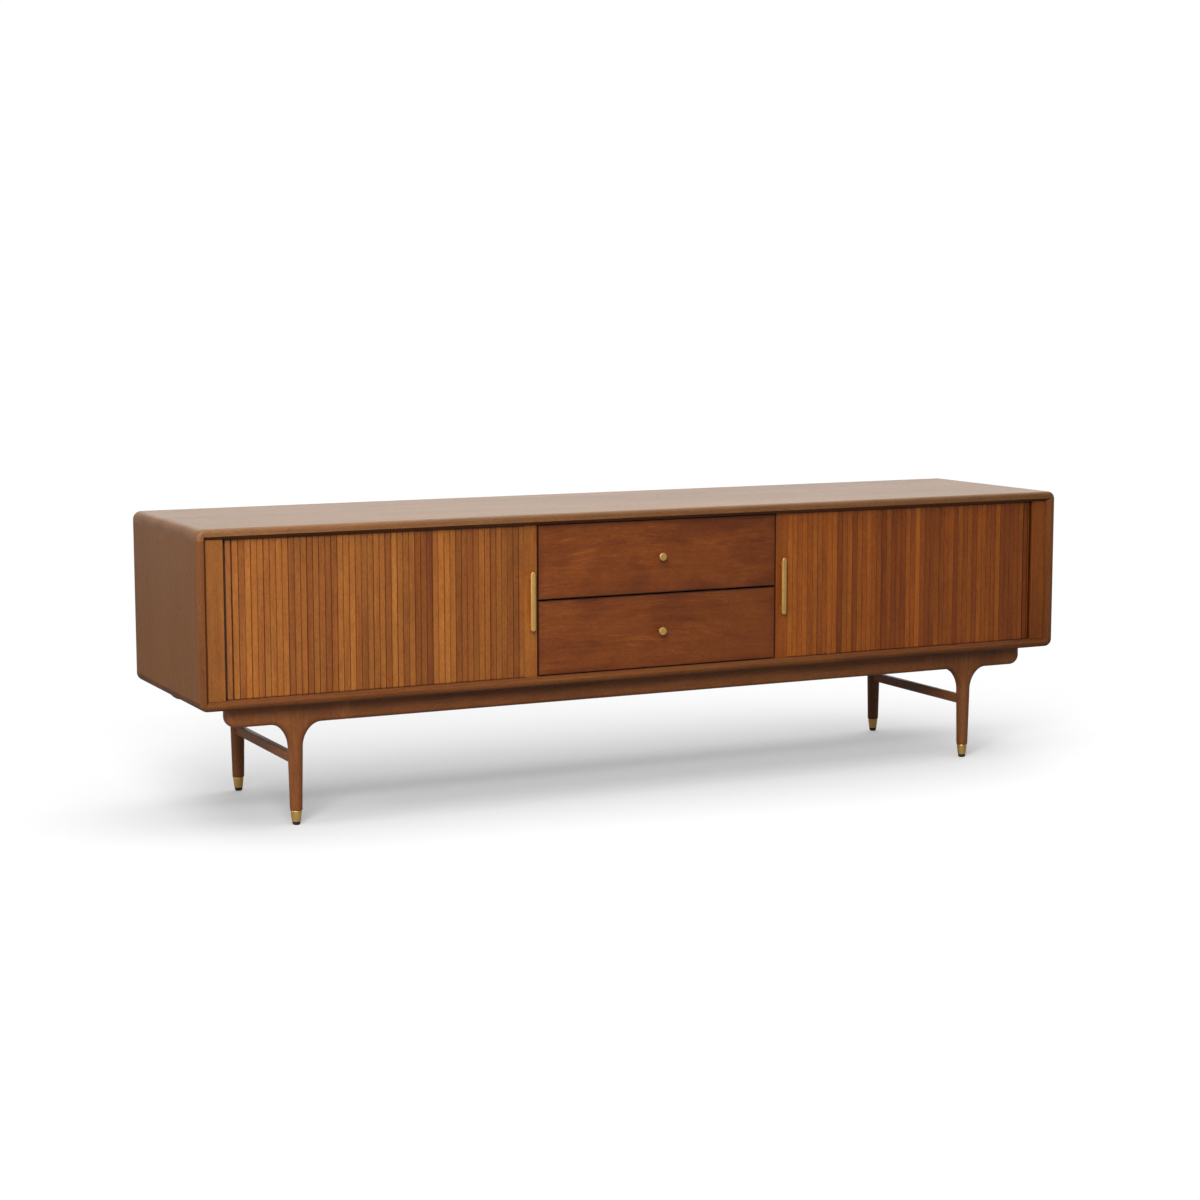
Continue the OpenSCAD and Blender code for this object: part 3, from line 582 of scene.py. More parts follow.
def groove_solid(sign, z0, z1):
    r1, r0 = 0.0446, 0.0350
    p = [(LEAD_IN - 0.0005, BEND_YF - r1)]
    p += arc(BEND_X, BEND_YF, r1, -90, 0, 10)
    p += arc(BEND_X, BEND_YB, r1, 0, 90, 10)
    p += [(0.66, BEND_YB + r1), (0.66, BEND_YB + r0)]
    p += arc(BEND_X, BEND_YB, r0, 90, 0, 10)
    p += arc(BEND_X, BEND_YF, r0, 0, -90, 10)
    p += [(LEAD_IN - 0.0005, BEND_YF - r0)]
    n = len(p)
    verts = [(sign * x, y, z) for z in (z0, z1) for x, y in p]
    faces = [tuple(range(n)), tuple(range(2 * n - 1, n - 1, -1))] + [(i, (i + 1) % n, n + (i + 1) % n, n + i) for i in range(n)]
    return verts, faces


def cut(ob, tool):
    b = ob.modifiers.new("cut", "BOOLEAN")
    b.operation = "DIFFERENCE"
    b.solver = "EXACT"
    b.object = tool
    bake_modifiers(ob)
    me = tool.data
    bpy.data.objects.remove(tool)
    bpy.data.meshes.remove(me)
    return ob


def place(ob, body, slot, *nodes):
    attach(ob, body)
    if nodes:
        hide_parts(*nodes)
    return ob


for name, top, z0, z1 in (("top_panel", True, ZT - 0.004, ZT + 0.006), ("bottom_panel", False, ZB - 0.006, ZB + 0.004)):
    v, f = long_panel(top)
    ob = add_mesh(name + "_shaped", v, f, W_TOP if top else W_BOTTOM)
    for s in (-1, 1):
        tool = add_mesh("tool", *groove_solid(s, z0, z1), W_TOP, smooth=False)
        cut(ob, tool)
    ob.data.shade_smooth()
    ob.data.set_sharp_from_angle(angle=math.radians(30))
    if top:
        # painted shade: the flared mouth's underside takes the darker lip wood
        ob.data.materials.append(W_LIP_X)
        for q in ob.data.polygons:
            if q.center.y < YF + FLARE_D and q.normal.z < -0.4 and abs(q.center.x) < XI + FLARE_W and q.center.z < ZT + FLARE_W + 0.001:
                q.material_index = 1
        # the flat top keeps its paler colour with the painted sheen; faces turned away from straight up get the darker
        # edge wood
        ob.data.materials.append(W_TOP_EDGE)
        for q in ob.data.polygons:
            if q.material_index == 0 and q.normal.z < 0.80 and q.center.z > ZT + 0.0005:
                q.material_index = 2
    soften(ob, 0.0004, 2, 30)
    place(ob, "case", "case_wood", name)
for name, s, mat in (("left_side_panel", -1, W_SIDE), ("right_side_panel", 1, W_SIDE_R)):
    ob = add_mesh(name + "_shaped", *side_rings(s), mat, angle=30)
    ob.data.materials.append(W_LIP_Z)
    ob.data.materials.append(W_SIDE_EDGE)
    for q in ob.data.polygons:
        if q.normal.y < -0.45:
            q.material_index = 2
    # painted shade: the inward faces of the flared mouth take the darker lip wood
    for q in ob.data.polygons:
        if q.center.y < YF + FLARE_D and q.normal.x * s < -0.4:
            q.material_index = 1
    soften(ob, 0.0004, 2, 30)
    place(ob, "case", "case_wood", name)

# ------------------------------------------------------------------ tambour


def slat_section(w):
    c = 0.00045
    pts = [(-w / 2, SLAT_T), (-w / 2, c)]
    for k in range(1, 4):
        a = math.radians(30 * k)
        pts.append((-w / 2 + c * (1 - math.cos(a)), c * (1 - math.sin(a))))
    pts += [(-w / 2 + c + 0.0008, 0.0), (w / 2 - c - 0.0008, 0.0)]
    for k in range(3):
        a = math.radians(90 - 30 * k)
        pts.append((w / 2 - c * (1 - math.cos(a)), c * (1 - math.sin(a))))
    pts += [(w / 2, c), (w / 2, SLAT_T)]
    return pts


def make_slats(side, part):
    sgn = -1 if side == "left" else 1
    rng = random.Random(11 if side == "left" else 29)
    verts, faces, tones, gap_shades = [], [], [], []
    n = len(slat_section(0.012))
    zs = [TZ0, ZB + 0.05, MIDZ, ZT - 0.05, TZ1]
    prev = 0.5
    for i in range(N_FLAT + N_BENT):
        # neighbours cut from one board look alike now and then
        base = rng.random()
        tone = 0.85 * base + 0.15 * prev if rng.random() < 0.85 else min(1.0, max(0.0, prev + rng.uniform(-0.08, 0.08)))
        prev = tone
        # painted light: the left door's slats darken and redden towards the middle and the right door's grow paler
        # towards it, so both doors are lighter to the left, as the light from the left falls off
        if side == "right":
            tone = max(0.0, tone - 0.45 * max(0.0, 1 - i / 16))
        else:
            tone = min(1.0, tone + 0.16 * max(0.0, 1 - i / 26))
        t = (tone, rng.random(), rng.random())
        depth = rng.uniform(0.0, 0.00012)
        sec = slat_section(PITCH_S - (rng.uniform(0.00018, 0.00030) if rng.random() < 0.55 else rng.uniform(0.00035, 0.0006))
                           if i < N_FLAT else 0.0110)
        off = len(verts)
        # painted shade in the gaps between slats, of random strength on each side and weaker on the right door
        gap_shade_l = rng.uniform(0.30, 0.85) * (1.0 if side == "left" else 0.6)
        gap_shade_r = rng.uniform(0.30, 0.85) * (1.0 if side == "left" else 0.6)
        edge_in = max(a for a, b in sec) - 0.00045 - 0.0008
        if (i < N_FLAT) != (part == "run"):
            continue
        for z in zs:
            for a, b in sec:
                gap_shades.append(min(1.0, max(0.0, (abs(a) - edge_in) / 0.0008)) * (gap_shade_l if a < 0 else gap_shade_r))
                if i < N_FLAT:
                    x = LEAD_OUT + (i + 0.5) * PITCH_S + a
                    y = YD + depth + b
                else:
                    th = (i - N_FLAT + 0.5) * PITCH_S / BEND_R
                    u, vv = a, -(BEND_R + SLAT_T) + b
                    x = BEND_X + u * math.cos(th) - vv * math.sin(th)
                    y = BEND_YF + u * math.sin(th) + vv * math.cos(th)
                verts.append((sgn * x, y, z))
                tones.append(t)
        for k in range(len(zs) - 1):
            for j in range(n):
                jj = (j + 1) % n
                q = [off + k * n + j, off + k * n + jj, off + (k + 1) * n + jj, off + (k + 1) * n + j]
                faces.append(q if sgn > 0 else list(reversed(q)))
        faces.append([off + j for j in range(n)])
        faces.append([off + (len(zs) - 1) * n + j for j in reversed(range(n))])
    label = side + ("_tambour_slats" if part == "run" else "_tambour_slats_at_the_turn")
    me = bpy.data.meshes.new(label)
    me.from_pydata(verts, [], faces)
    ob = bpy.data.objects.new(label, me)
    scene.collection.objects.link(ob)
    at = me.attributes.new("tone", "FLOAT_VECTOR", "POINT")
    at.data.foreach_set("vector", np.array(tones, np.float32).ravel())
    at = me.attributes.new("rest", "FLOAT_VECTOR", "POINT")
    at.data.foreach_set("vector", np.array(verts, np.float32).ravel())
    at = me.attributes.new("gap_shade", "FLOAT", "POINT")
    at.data.foreach_set("value", np.array(gap_shades, np.float32))
    bm = bmesh.new()
    bm.from_mesh(me)
    bmesh.ops.recalc_face_normals(bm, faces=bm.faces)
    bm.to_mesh(me)
    bm.free()
    me.shade_smooth()
    me.set_sharp_from_angle(angle=math.radians(50))
    me.materials.append(W_SLAT[side])
    return ob


def make_canvas(side, part):
    sgn = -1 if side == "left" else 1
    y0 = YD + SLAT_T
    th = 0.0006
    path = []
    n = 40
    for k in range(n + 1) if part == "run" else ():
        path.append((LEAD_OUT + (BEND_X - LEAD_OUT) * k / n, y0, 0.0, 1.0))
    for k in range(0, 13) if part == "turn" else ():
        a = math.radians(90 * k / 12)
        path.append((BEND_X + BEND_R * math.sin(a), BEND_YF - BEND_R * math.cos(a), -math.sin(a), math.cos(a)))
    z0, z1 = ZB + 0.004, ZT - 0.004
    verts, faces = [], []
    for x, y, nx, ny in path:
        for off in (0.00005, th):
            for z in (z0, z1):
                verts.append((sgn * (x + nx * off), y + ny * off, z))
    m = len(path)
    for k in range(m - 1):
        a, b = 4 * k, 4 * (k + 1)
        faces += [(a, b, b + 1, a + 1), (a + 2, a + 3, b + 3, b + 2), (a, a + 2, b + 2, b), (a + 1, b + 1, b + 3, a + 3)]
    faces += [(0, 1, 3, 2), (4 * m - 4, 4 * m - 2, 4 * m - 1, 4 * m - 3)]
    return add_mesh(side + ("_tambour_canvas" if part == "run" else "_tambour_canvas_at_the_turn"), verts, faces, M_CANVAS)


def make_stile(side):
    sgn = -1 if side == "left" else 1
    yb = stile_hi.y
    p = [(YD, TZ0), (YD + SLAT_T, TZ0), (YD + SLAT_T, ZB + 0.001), (yb, ZB + 0.001), (yb, ZT - 0.001), (YD + SLAT_T, ZT - 0.001), (YD + SLAT_T, TZ1), (YD, TZ1)]
    rings = [[(sgn * x, y, z) for y, z in p] for x in (LEAD_IN, LEAD_OUT)]
    v, f = loft(rings)
    ob = add_mesh(side + "_leading_stile", v, f, W_LEAD[side])
    return soften(ob, 0.0007, 3, 35)


h_lo, h_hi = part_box("right_handle")
HX, HW, HL, HT = (h_lo.x + h_hi.x) / 2, h_hi.x - h_lo.x, h_hi.z - h_lo.z, 0.006


def make_handle(side):
    sgn = -1 if side == "left" else 1
    r = HW / 2
    outline = []
    for k in range(17):
        a = math.pi * k / 16
        outline.append((r * math.cos(a), HL / 2 - r + r * math.sin(a), math.cos(a), math.sin(a)))
    for k in range(17):
        a = math.pi + math.pi * k / 16
        outline.append((r * math.cos(a), -HL / 2 + r + r * math.sin(a), math.cos(a), math.sin(a)))
    e = 0.0011
    steps = [(e * (1 - math.sin(math.radians(t))), e * (1 - math.cos(math.radians(t)))) for t in (0, 22, 45, 67, 90)]
    steps = [(i, y) for i, y in steps]
    b = 0.0005
    back = [(0.0, HT - b), (b * 0.3, HT - b * 0.3), (b, HT)]
    rings = []
    for inset, y in steps + back:
        rings.append([(sgn * (HX + x - nx * inset), h_lo.y + y, MIDZ + z - nz * inset) for x, z, nx, nz in outline])
    parts = [loft(rings)]
    for s in (-1, 1):
        prof = [(0.0, HT - 0.0002), (0.0029, HT - 0.0002), (0.0025, HT + 0.0008), (0.0025, stile_lo.y - h_lo.y - 0.0003), (0.0025, stile_lo.y - h_lo.y), (0.0, stile_lo.y - h_lo.y)]
        parts.append(lathe(prof, (sgn * HX, h_lo.y, MIDZ + s * 0.048), "y", 28))
    v, f = merge(parts)
    return add_mesh(side + "_bar_handle", v, f, M_BRASS_Z, angle=40)


for side in ("left", "right"):
    body, joint = side + "_door", side + "_door_slide"
    # the flat run gathers at the fixed end panel as the door opens; the turn behind that panel stays where it is
    slats_ob = place(make_slats(side, "run"), body, "slat_wood", side + "_slats")
    turn_ob = place(make_slats(side, "turn"), "case", "slat_wood")
    canvas_ob = place(make_canvas(side, "run"), body, "canvas", side + "_canvas")
    round_ob = place(make_canvas(side, "turn"), "case", "canvas")
    place(make_stile(side), body, "slat_wood", side + "_lead_stile")
    place(make_handle(side), body, "brass", side + "_handle")
    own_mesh(slats_ob)
    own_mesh(canvas_ob)

# fixed end panels
for side in ("left", "right"):
    lo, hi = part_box(side + "_end_panel")
    p = [(lo.x, lo.y), (hi.x, lo.y), (hi.x, hi.y), (lo.x, hi.y)]
    rings = [[(x, y, z) for x, y in p] for z in (ZB, ZT)]
    ob = add_mesh(side + "_end_stile", *loft(rings), W_END[side])
    soften(ob, 0.0009, 3, 35)
    place(ob, "case", "case_wood", side + "_end_panel")

# ------------------------------------------------------------------ drawers

for which, mat in (("upper", W_DRAW_U), ("lower", W_DRAW_L)):
    lo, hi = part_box(which + "_drawer_front")
    p = [(lo.x, lo.y), (hi.x, lo.y), (hi.x, hi.y), (lo.x, hi.y)]
    rings = [[(x, y, z) for x, y in p] for z in (lo.z, hi.z)]
    ob = add_mesh(which + "_drawer_face", *loft(rings), mat)
    soften(ob, 0.0008, 3, 35)
    place(ob, which + "_drawer", "drawer_wood", which + "_drawer_front")
    klo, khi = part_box(which + "_knob")
    L = khi.y - klo.y
    R0 = (khi.z - klo.z) / 2
    prof = [(0.0, 0.00012), (R0 * 0.5, 0.00006), (R0 - 0.0011, 0.0)]
    for k in range(1, 6):
        a = math.radians(18 * k)
        prof.append((R0 - 0.0011 + 0.0011 * math.sin(a), 0.0011 - 0.0011 * math.cos(a)))
    prof += [(R0, 0.0066)]
    for k in range(1, 6):
        a = math.radians(18 * k)
        prof.append((R0 - 0.0009 + 0.0009 * math.cos(a), 0.0066 + 0.0009 * math.sin(a)))
    prof += [(0.0042, 0.0083), (0.0032, 0.0090), (0.0, 0.0090)]
    neck = [(0.0, 0.0088), (0.0030, 0.0090), (0.0026, 0.0105), (0.0026, L - 0.003), (0.0029, L - 0.0018), (0.0038, L - 0.0010), (0.0041, L - 0.0003), (0.0041, L), (0.0, L)]
    ob = add_mesh(which + "_round_knob", *lathe(prof, (0, klo.y, (klo.z + khi.z) / 2), "y", 48), M_BRASS_R, angle=38)
    place(ob, which + "_drawer", "brass", which + "_knob")
    # the neck takes the dark brass with the painted shade
    ob = add_mesh(which + "_knob_neck", *lathe(neck, (0, klo.y, (klo.z + khi.z) / 2), "y", 40), M_BRASS_NECK_SHADE, angle=38)
    place(ob, which + "_drawer", "brass")

# ------------------------------------------------------------------ base

R_TOP, R_LOW, FER_Z, NECK_Z = 0.015, 0.0124, 0.029, 0.150
FIL_W, FIL_H = 0.038, 0.048


def leg_half(z):
    """Half width of the leg at height z, with the small shoulder above the ferrule."""
    w = R_LOW + (R_TOP - R_LOW) * min(1.0, max(0.0, (z - FER_Z) / (NECK_Z - FER_Z)))
    t = (z - FER_Z) / 0.0022
    if t < 1:
        w -= 0.0011 * (1 - math.sqrt(max(0.0, 1 - (1 - t) ** 2)))
    return w


def bracket(side_sign, yc):
    """One leg with its bracket, built about its axis with the rail's end towards +x, then moved into place."""
    e = STUB_X - LEG_X
    i = LEG_X - RAIL_X
    R_END = 0.022
    # half outline: rounded edges run from the inner joint, down the leg and out to the rail's end
    line = []
    line += [(-i + (i - R_TOP - FIL_W) * k / 6, RAIL_Z) for k in range(7)]
    for k in range(1, 17):
        a = math.radians(90 - 90 * k / 16)
        line.append((-R_TOP - FIL_W + FIL_W * math.cos(a), RAIL_Z - FIL_H + FIL_H * math.sin(a)))
    zs = [RAIL_Z - FIL_H - 0.006 * k for k in range(1, 22)]
    zs = [z for z in zs if z > FER_Z + 0.004] + [FER_Z + 0.0030, FER_Z + 0.0020, FER_Z + 0.0012, FER_Z + 0.0006, FER_Z + 0.0002, FER_Z]
    line += [(-leg_half(z), z) for z in zs]
    foot = len(line)
    line += [(leg_half(z), z) for z in reversed(zs)]
    for k in range(0, 16):
        a = math.radians(180 - 90 * k / 16)
        line.append((R_TOP + FIL_W + FIL_W * math.cos(a), RAIL_Z - FIL_H + FIL_H * math.sin(a)))
    n5 = 8
    line += [(R_TOP + FIL_W + (e - R_END - R_TOP - FIL_W) * k / n5, RAIL_Z) for k in range(n5)]
    for k in range(0, 11):
        a = math.radians(270 + 90 * k / 10)
        line.append((e - R_END + R_END * math.cos(a), RAIL_Z + R_END + R_END * math.sin(a)))
    line += [(e, Z0 - 0.0045), (e, Z0)]
    L = np.array(line)
    foot_cut = foot - 1, foot  # the flat end of the leg isn't rounded
    seg_a = [k for k in range(len(L) - 1) if k != foot_cut[0]]
    A, B = L[seg_a], L[[k + 1 for k in seg_a]]

    def dist(p):
        ab = B - A
        t = np.clip(((p - A) * ab).sum(1) / np.maximum((ab * ab).sum(1), 1e-18), 0, 1)
        d = p - (A + t[:, None] * ab)
        return float(np.sqrt((d * d).sum(1)).min())

    def half_t(z):
        return leg_half(z) if z < NECK_Z else RAIL_T / 2

    def round_r(z):
        if z <= NECK_Z:
            return half_t(z)
        t = min(1.0, (z - NECK_Z) / (RAIL_Z + 0.012 - NECK_Z))
        t = t * t * (3 - 2 * t)
        return RAIL_T / 2 * (1 - t) + 0.0095 * t

    def height(x, z):
        r, T = round_r(z), half_t(z)
        d = dist(np.array((x, z)))
        h = T if d >= r else T - r + math.sqrt(max(0.0, r * r - (r - d) ** 2))
        rt = 0.003
        dt = Z0 - z
        if dt < rt:
            h = min(h, T - rt + math.sqrt(max(0.0, rt * rt - (rt - dt) ** 2)))
        return h

    # plan points: the outline, rows inset from it, and a loose grid inside
    closed = line + [(-i, Z0)]
    outline = [tuple(p) for p in line]
    top_edge = [(e - (e + i) * k / 40, Z0) for k in range(1, 40)]
    joint = [(-i, Z0 - (Z0 - RAIL_Z) * k / 8) for k in range(1, 8)]
    ring = outline + top_edge + [(-i, Z0)] + joint
    n = len(ring)
    pts = list(ring)
    edges = [(k, (k + 1) % n) for k in range(n)]

    def inside(p):
        x, z = p
        c = False
        for k in range(n):
            (x1, z1), (x2, z2) = ring[k], ring[(k + 1) % n]
            if (z1 > z) != (z2 > z) and x < (x2 - x1) * (z - z1) / (z2 - z1) + x1:
                c = not c
        return c

    for k in range(1, len(line) - 1):
        if k in foot_cut:
            continue
        p, a, b = L[k], L[k - 1], L[k + 1]
        t = b - a
        t = t / np.linalg.norm(t)
        nrm = np.array((-t[1], t[0]))
        r = round_r(p[1])
        if not inside(p + nrm * 1e-4):
            nrm = -nrm
        for f in (12, 26, 42, 60, 78):
            ins = r * (1 - math.cos(math.radians(f)))
            q = p + nrm * ins
            if inside(q) and q[1] < Z0 - 0.0005 and q[0] > -i + 0.0005 and dist(q) > ins * 0.93:
                pts.append(tuple(q))
    for k in range(0, 41):
        x = e - (e + i) * k / 40
        for dz in (0.0004, 0.0012, 0.003):
            q = (x, Z0 - dz)
            if -i + 0.0004 < x < e - 0.0004 and dist(np.array(q)) > 0.0004:
                pts.append(q)
    step = 0.005
    zz = FER_Z + step
    while zz < Z0 - 0.004:
        xx = -i + step
        while xx < e:
            if inside((xx, zz)) and dist(np.array((xx, zz))) > round_r(zz) * 0.85:
                pts.append((xx, zz))
            xx += step
        if zz < RAIL_Z - FIL_H:
            pts.append((0.0, zz))
        zz += step
    for dz in (0.0002, 0.0006, 0.0012, 0.002):
        for fx in (-0.8, -0.5, 0, 0.5, 0.8):
            pts.append((fx * R_LOW * 0.9, FER_Z + dz))
    v2, e2, f2, ov, oe, of_ = delaunay_2d_cdt([Vector(p) for p in pts], edges, [], 1, 1e-7)
    hs = [height(p.x, p.y) for p in v2]
    m = len(v2)
    verts = [(p.x, -h, p.y) for p, h in zip(v2, hs)] + [(p.x, h, p.y) for p, h in zip(v2, hs)]
    faces = [tuple(f) for f in f2] + [tuple(m + k for k in reversed(f)) for f in f2]
    count = {}
    for f in f2:
        for a, b in zip(f, list(f[1:]) + [f[0]]):
            key = (min(a, b), max(a, b))
            count.setdefault(key, []).append((a, b))
    for key, use in count.items():
        if len(use) == 1:
            a, b = use[0]
            faces.append((b, a, m + a, m + b))
    verts = [(side_sign * (LEG_X + x), yc + y, z) for x, y, z in verts]
    return verts, faces


def rail_section():
    """Section of a rail in Y (about its middle) and Z, bull-nosed below."""
    r, rt, T = 0.0095, 0.003, RAIL_T / 2
    pts = []
    for k in range(8):
        a = math.radians(270 + 90 * k / 7)
        pts.append((T - r + r * math.cos(a), RAIL_Z + r + r * math.sin(a)))
    for k in range(5):
        a = math.radians(90 * k / 4)
        pts.append((T - rt + rt * math.cos(a), Z0 - rt + rt * math.sin(a)))
    return pts + [(-y, z) for y, z in reversed(pts)]


for name, side_sign, yc, fr in (("front_left_leg", -1, LEG_YF, 1), ("front_right_leg", 1, LEG_YF, 1), ("rear_left_leg", -1, LEG_YR, -1), ("rear_right_leg", 1, LEG_YR, -1)):
    v, f = bracket(side_sign, yc)
    ob = add_mesh(name + "_turned", v, f, W_LEG, angle=50)
    place(ob, "case", "case_wood", name)
for name, yc in (("front_rail", LEG_YF), ("rear_rail", LEG_YR)):
    sec = rail_section()
    rings = [[(x, yc + y, z) for y, z in sec] for x in np.linspace(-RAIL_X, RAIL_X, 9)]
    ob = add_mesh(name + "_shaped", *loft(rings), W_RAIL, angle=40)
    place(ob, "case", "case_wood", name)
for side in ("left", "right"):
    lo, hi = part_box(side + "_stretcher")
    cx, cz = (lo.x + hi.x) / 2, (lo.z + hi.z) / 2
    hw, hh, r = (hi.x - lo.x) / 2, (hi.z - lo.z) / 2, 0.003
    sec = []
    for cx_, cz_, a0 in ((hw - r, -hh + r, 270), (hw - r, hh - r, 0), (-hw + r, hh - r, 90), (-hw + r, -hh + r, 180)):
        for k in range(5):
            a = math.radians(a0 + 22.5 * k)
            sec.append((cx_ + r * math.cos(a), cz_ + r * math.sin(a)))
    y0, y1 = LEG_YF + 0.0115, LEG_YR - 0.0115
    rings = [[(cx + x, y, cz + z) for x, z in sec] for y in np.linspace(y0, y1, 5)]
    ob = add_mesh(side + "_side_stretcher", *loft(rings), W_DEEP, angle=40)
    place(ob, "case", "case_wood", side + "_stretcher")

feet = [(x, y) for x in (-LEG_X, LEG_X) for y in (LEG_YF, LEG_YR)]
prof = [(0.0, 0.0072), (0.0084, 0.0072), (0.0088, 0.0076)]
for k in range(0, 9):
    t = k / 8
    prof.append((0.0088 + (0.01115 - 0.0088) * (t ** 0.85), 0.0080 + (0.0272 - 0.0080) * t))
prof += [(0.0112, 0.0278), (0.0112, 0.0284), (0.0109, 0.0289), (0.0104, 0.0290), (0.0, 0.0290)]
ob = add_mesh("brass_ferrules", *merge([lathe(prof, (x, y, 0), "z", 48) for x, y in feet]), M_BRASS_R, angle=40)
place(ob, "case", "brass", "ferrules")
prof = [(0.0, 0.0), (0.0050, 0.0), (0.0060, 0.0002), (0.0069, 0.0009), (0.0075, 0.0021), (0.0079, 0.0038), (0.0081, 0.0056), (0.0081, 0.0072), (0.0, 0.0072)]
ob = add_mesh("foot_glides", *merge([lathe(prof, (x, y, 0), "z", 40) for x, y in feet]), M_BLACK, angle=40)
place(ob, "case", "black_plastic", "glides")

# ------------------------------------------------------------------ CAD pieces that keep their shape

KEEP = {
    "left_divider": W_INSIDE, "right_divider": W_INSIDE, "back_panel": W_SHELF,
    "left_side_liner": W_INSIDE, "right_side_liner": W_INSIDE, "left_back_liner": W_SHELF, "right_back_liner": W_SHELF,
    "left_shelf": W_SHELF, "right_shelf": W_SHELF, "dowels": W_BEECH,
    "shelf_pins": M_STEEL, "back_panel_screws": M_STEEL, "base_screws": M_STEEL, "slide_outer_members": M_STEEL,
    "cable_grommets": M_BLACK,
    "left_handle_screws": M_STEEL, "right_handle_screws": M_STEEL,
}
for u in ("upper", "lower"):
    KEEP.update({u + "_drawer_left_side": W_PLY_Y, u + "_drawer_right_side": W_PLY_Y, u + "_drawer_back": W_PLY, u + "_drawer_bottom": W_PLY,
                 u + "_knob_screw": M_STEEL, u + "_slide_inner_members": M_STEEL, u + "_slide_middle_members": M_STEEL})
BEVEL = {"left_shelf": 0.001, "right_shelf": 0.001, "left_divider": 0.0006, "right_divider": 0.0006, "cable_grommets": 0.0006,
         "left_side_liner": 0.0005, "right_side_liner": 0.0005, "left_back_liner": 0.0005, "right_back_liner": 0.0005, "back_panel": 0.0005}
for u in ("upper", "lower"):
    for n in ("_drawer_left_side", "_drawer_right_side", "_drawer_back"):
        BEVEL[u + n] = 0.0008
for n, mat in KEEP.items():
    o = NODE[n]
    if not o.material_slots:
        o.data.materials.append(mat)
    else:
        for s in o.material_slots:
            s.material = mat
    if n in BEVEL:
        soften(o, BEVEL[n], 2, 40, weld=True)

# ------------------------------------------------------------------ stage and light

# the floor is pale to look at but bounces little light up at the object, as black flags beside it would
m = Nodes("studio_floor")
p = m.node("ShaderNodeTexCoord").outputs["Object"]
c = m.mix(m.noise(p, 0.7, 2.0), (0.68, 0.686, 0.692, 1), (0.69, 0.696, 0.702, 1))
m.put(m.bsdf.inputs["Base Color"], c)
m.bsdf.inputs["Roughness"].default_value = 0.9
m.bsdf.inputs["Specular IOR Level"].default_value = 0.1
m.bsdf.inputs["Emission Color"].default_value = (1, 1, 1, 1)
# painted light: the floor glows, more to the right and back, so the shadow on it lifts and leans to the left and front
lean = m.node("ShaderNodeVectorMath", {"operation": "DOT_PRODUCT"})
m.put(lean.inputs[0], p)
lean.inputs[1].default_value = (0.8, 0.6, 0.0)
m.put(m.bsdf.inputs["Emission Strength"], m.map_range(lean.outputs["Value"], -1.3, 1.3, 0.06, 0.30))
far = m.node("ShaderNodeVectorMath", {"operation": "LENGTH"})
m.put(far.inputs[0], m.scaled(p, (1.0 / 1.35, 1.0, 1.0)))
fade = m.map_range(far.outputs["Value"], 0.60, 1.75, 0.0, 1.0, smooth=True)
white = m.node("ShaderNodeEmission")
white.inputs["Strength"].default_value = 1.02
sweep = m.node("ShaderNodeMixShader")
m.put(sweep.inputs[0], fade)
m.put(sweep.inputs[1], m.bsdf.outputs[0])
m.put(sweep.inputs[2], white.outputs[0])
dim = m.node("ShaderNodeBsdfDiffuse")
dim.inputs["Color"].default_value = (0.25, 0.25, 0.25, 1)
seen = m.node("ShaderNodeLightPath").outputs["Is Camera Ray"]
mixer = m.node("ShaderNodeMixShader")
m.put(mixer.inputs[0], seen)
m.put(mixer.inputs[1], dim.outputs[0])
m.put(mixer.inputs[2], sweep.outputs[0])
outn = next(n for n in m.t.nodes if n.type == "OUTPUT_MATERIAL")
m.put(outn.inputs["Surface"], mixer.outputs[0])
me = bpy.data.meshes.new("floor")
S = 4.0
me.from_pydata([(-S, -S, 0), (S, -S, 0), (S, S, 0), (-S, S, 0)], [], [(0, 1, 2, 3)])
me.materials.append(m.mat)
floor = bpy.data.objects.new("floor", me)
scene.collection.objects.link(floor)

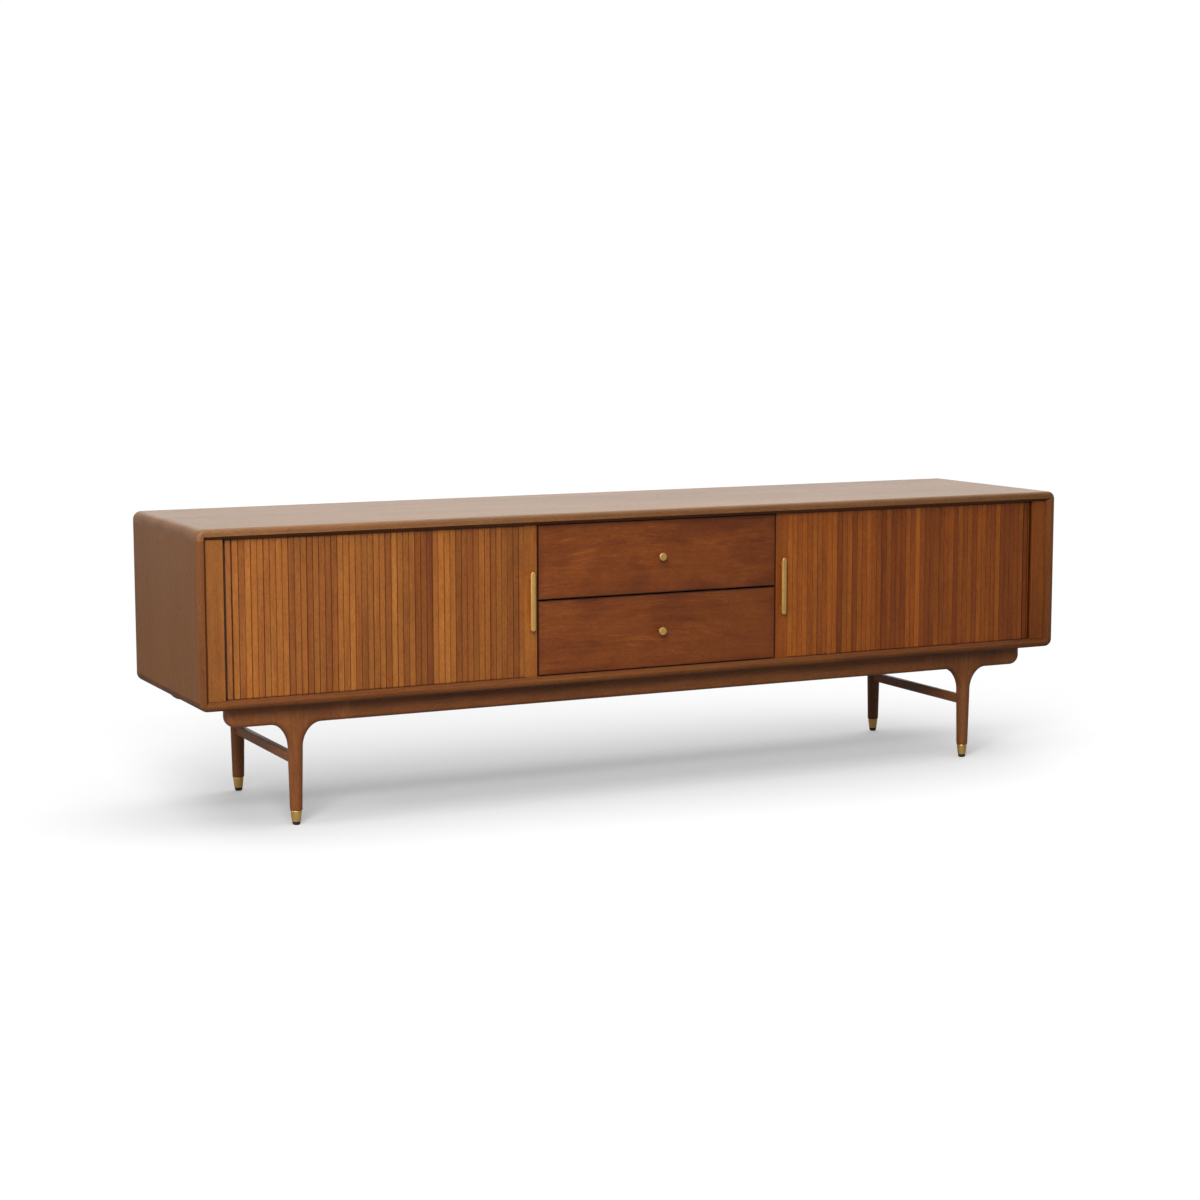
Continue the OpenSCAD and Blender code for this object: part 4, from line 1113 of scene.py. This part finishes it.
# a bright sweep behind the object, falling off to a dimmer room in front
WORLD_FRONT, WORLD_BACK = 0.24, 1.48
world = bpy.data.worlds.new("studio")
scene.world = world
world.use_nodes = True
wt = world.node_tree
bg = wt.nodes["Background"]
bg.inputs[0].default_value = (1.0, 1.0, 1.0, 1)
tc = wt.nodes.new("ShaderNodeTexCoord")
sp = wt.nodes.new("ShaderNodeVectorMath")
sp.operation = "DOT_PRODUCT"
sp.inputs[1].default_value = (0.6, 0.8, 0.0)
wt.links.new(tc.outputs["Generated"], sp.inputs[0])
mr = wt.nodes.new("ShaderNodeMapRange")
mr.interpolation_type = "SMOOTHSTEP"
wt.links.new(sp.outputs["Value"], mr.inputs[0])
mr.inputs[1].default_value, mr.inputs[2].default_value = 0.50, 0.84
mr.inputs[3].default_value, mr.inputs[4].default_value = WORLD_FRONT, WORLD_BACK
wt.links.new(mr.outputs[0], bg.inputs[1])
plain = wt.nodes.new("ShaderNodeBackground")
plain.inputs[0].default_value, plain.inputs[1].default_value = (1.0, 1.0, 1.0, 1), 1.02
seen = wt.nodes.new("ShaderNodeLightPath")
both = wt.nodes.new("ShaderNodeMixShader")
wt.links.new(seen.outputs["Is Camera Ray"], both.inputs[0])
wt.links.new(bg.outputs[0], both.inputs[1])
wt.links.new(plain.outputs[0], both.inputs[2])
wt.links.new(both.outputs[0], next(n for n in wt.nodes if n.type == "OUTPUT_WORLD").inputs["Surface"])


def area(name, at, to, size, power, color=(1, 1, 1)):
    d = bpy.data.lights.new(name, "AREA")
    d.shape = "RECTANGLE"
    d.size, d.size_y = size
    d.energy = power
    d.color = color
    o = bpy.data.objects.new(name, d)
    scene.collection.objects.link(o)
    o.location = at
    o.rotation_mode = "QUATERNION"
    o.rotation_quaternion = (Vector(to) - Vector(at)).to_track_quat("-Z", "Y")
    return o


KEY, OVER, LEFT = 99, 140, 30
area("key_softbox", (-1.9, -2.7, 2.0), (-0.4, 0, 0.35), (1.6, 1.4), KEY)
area("overhead_softbox", (0.3, -0.3, 3.6), (0.3, -0.3, 0), (6.0, 4.6), OVER)
area("left_softbox", (-4.2, -0.6, 1.3), (-0.9, 0, 0.4), (1.8, 1.8), LEFT)
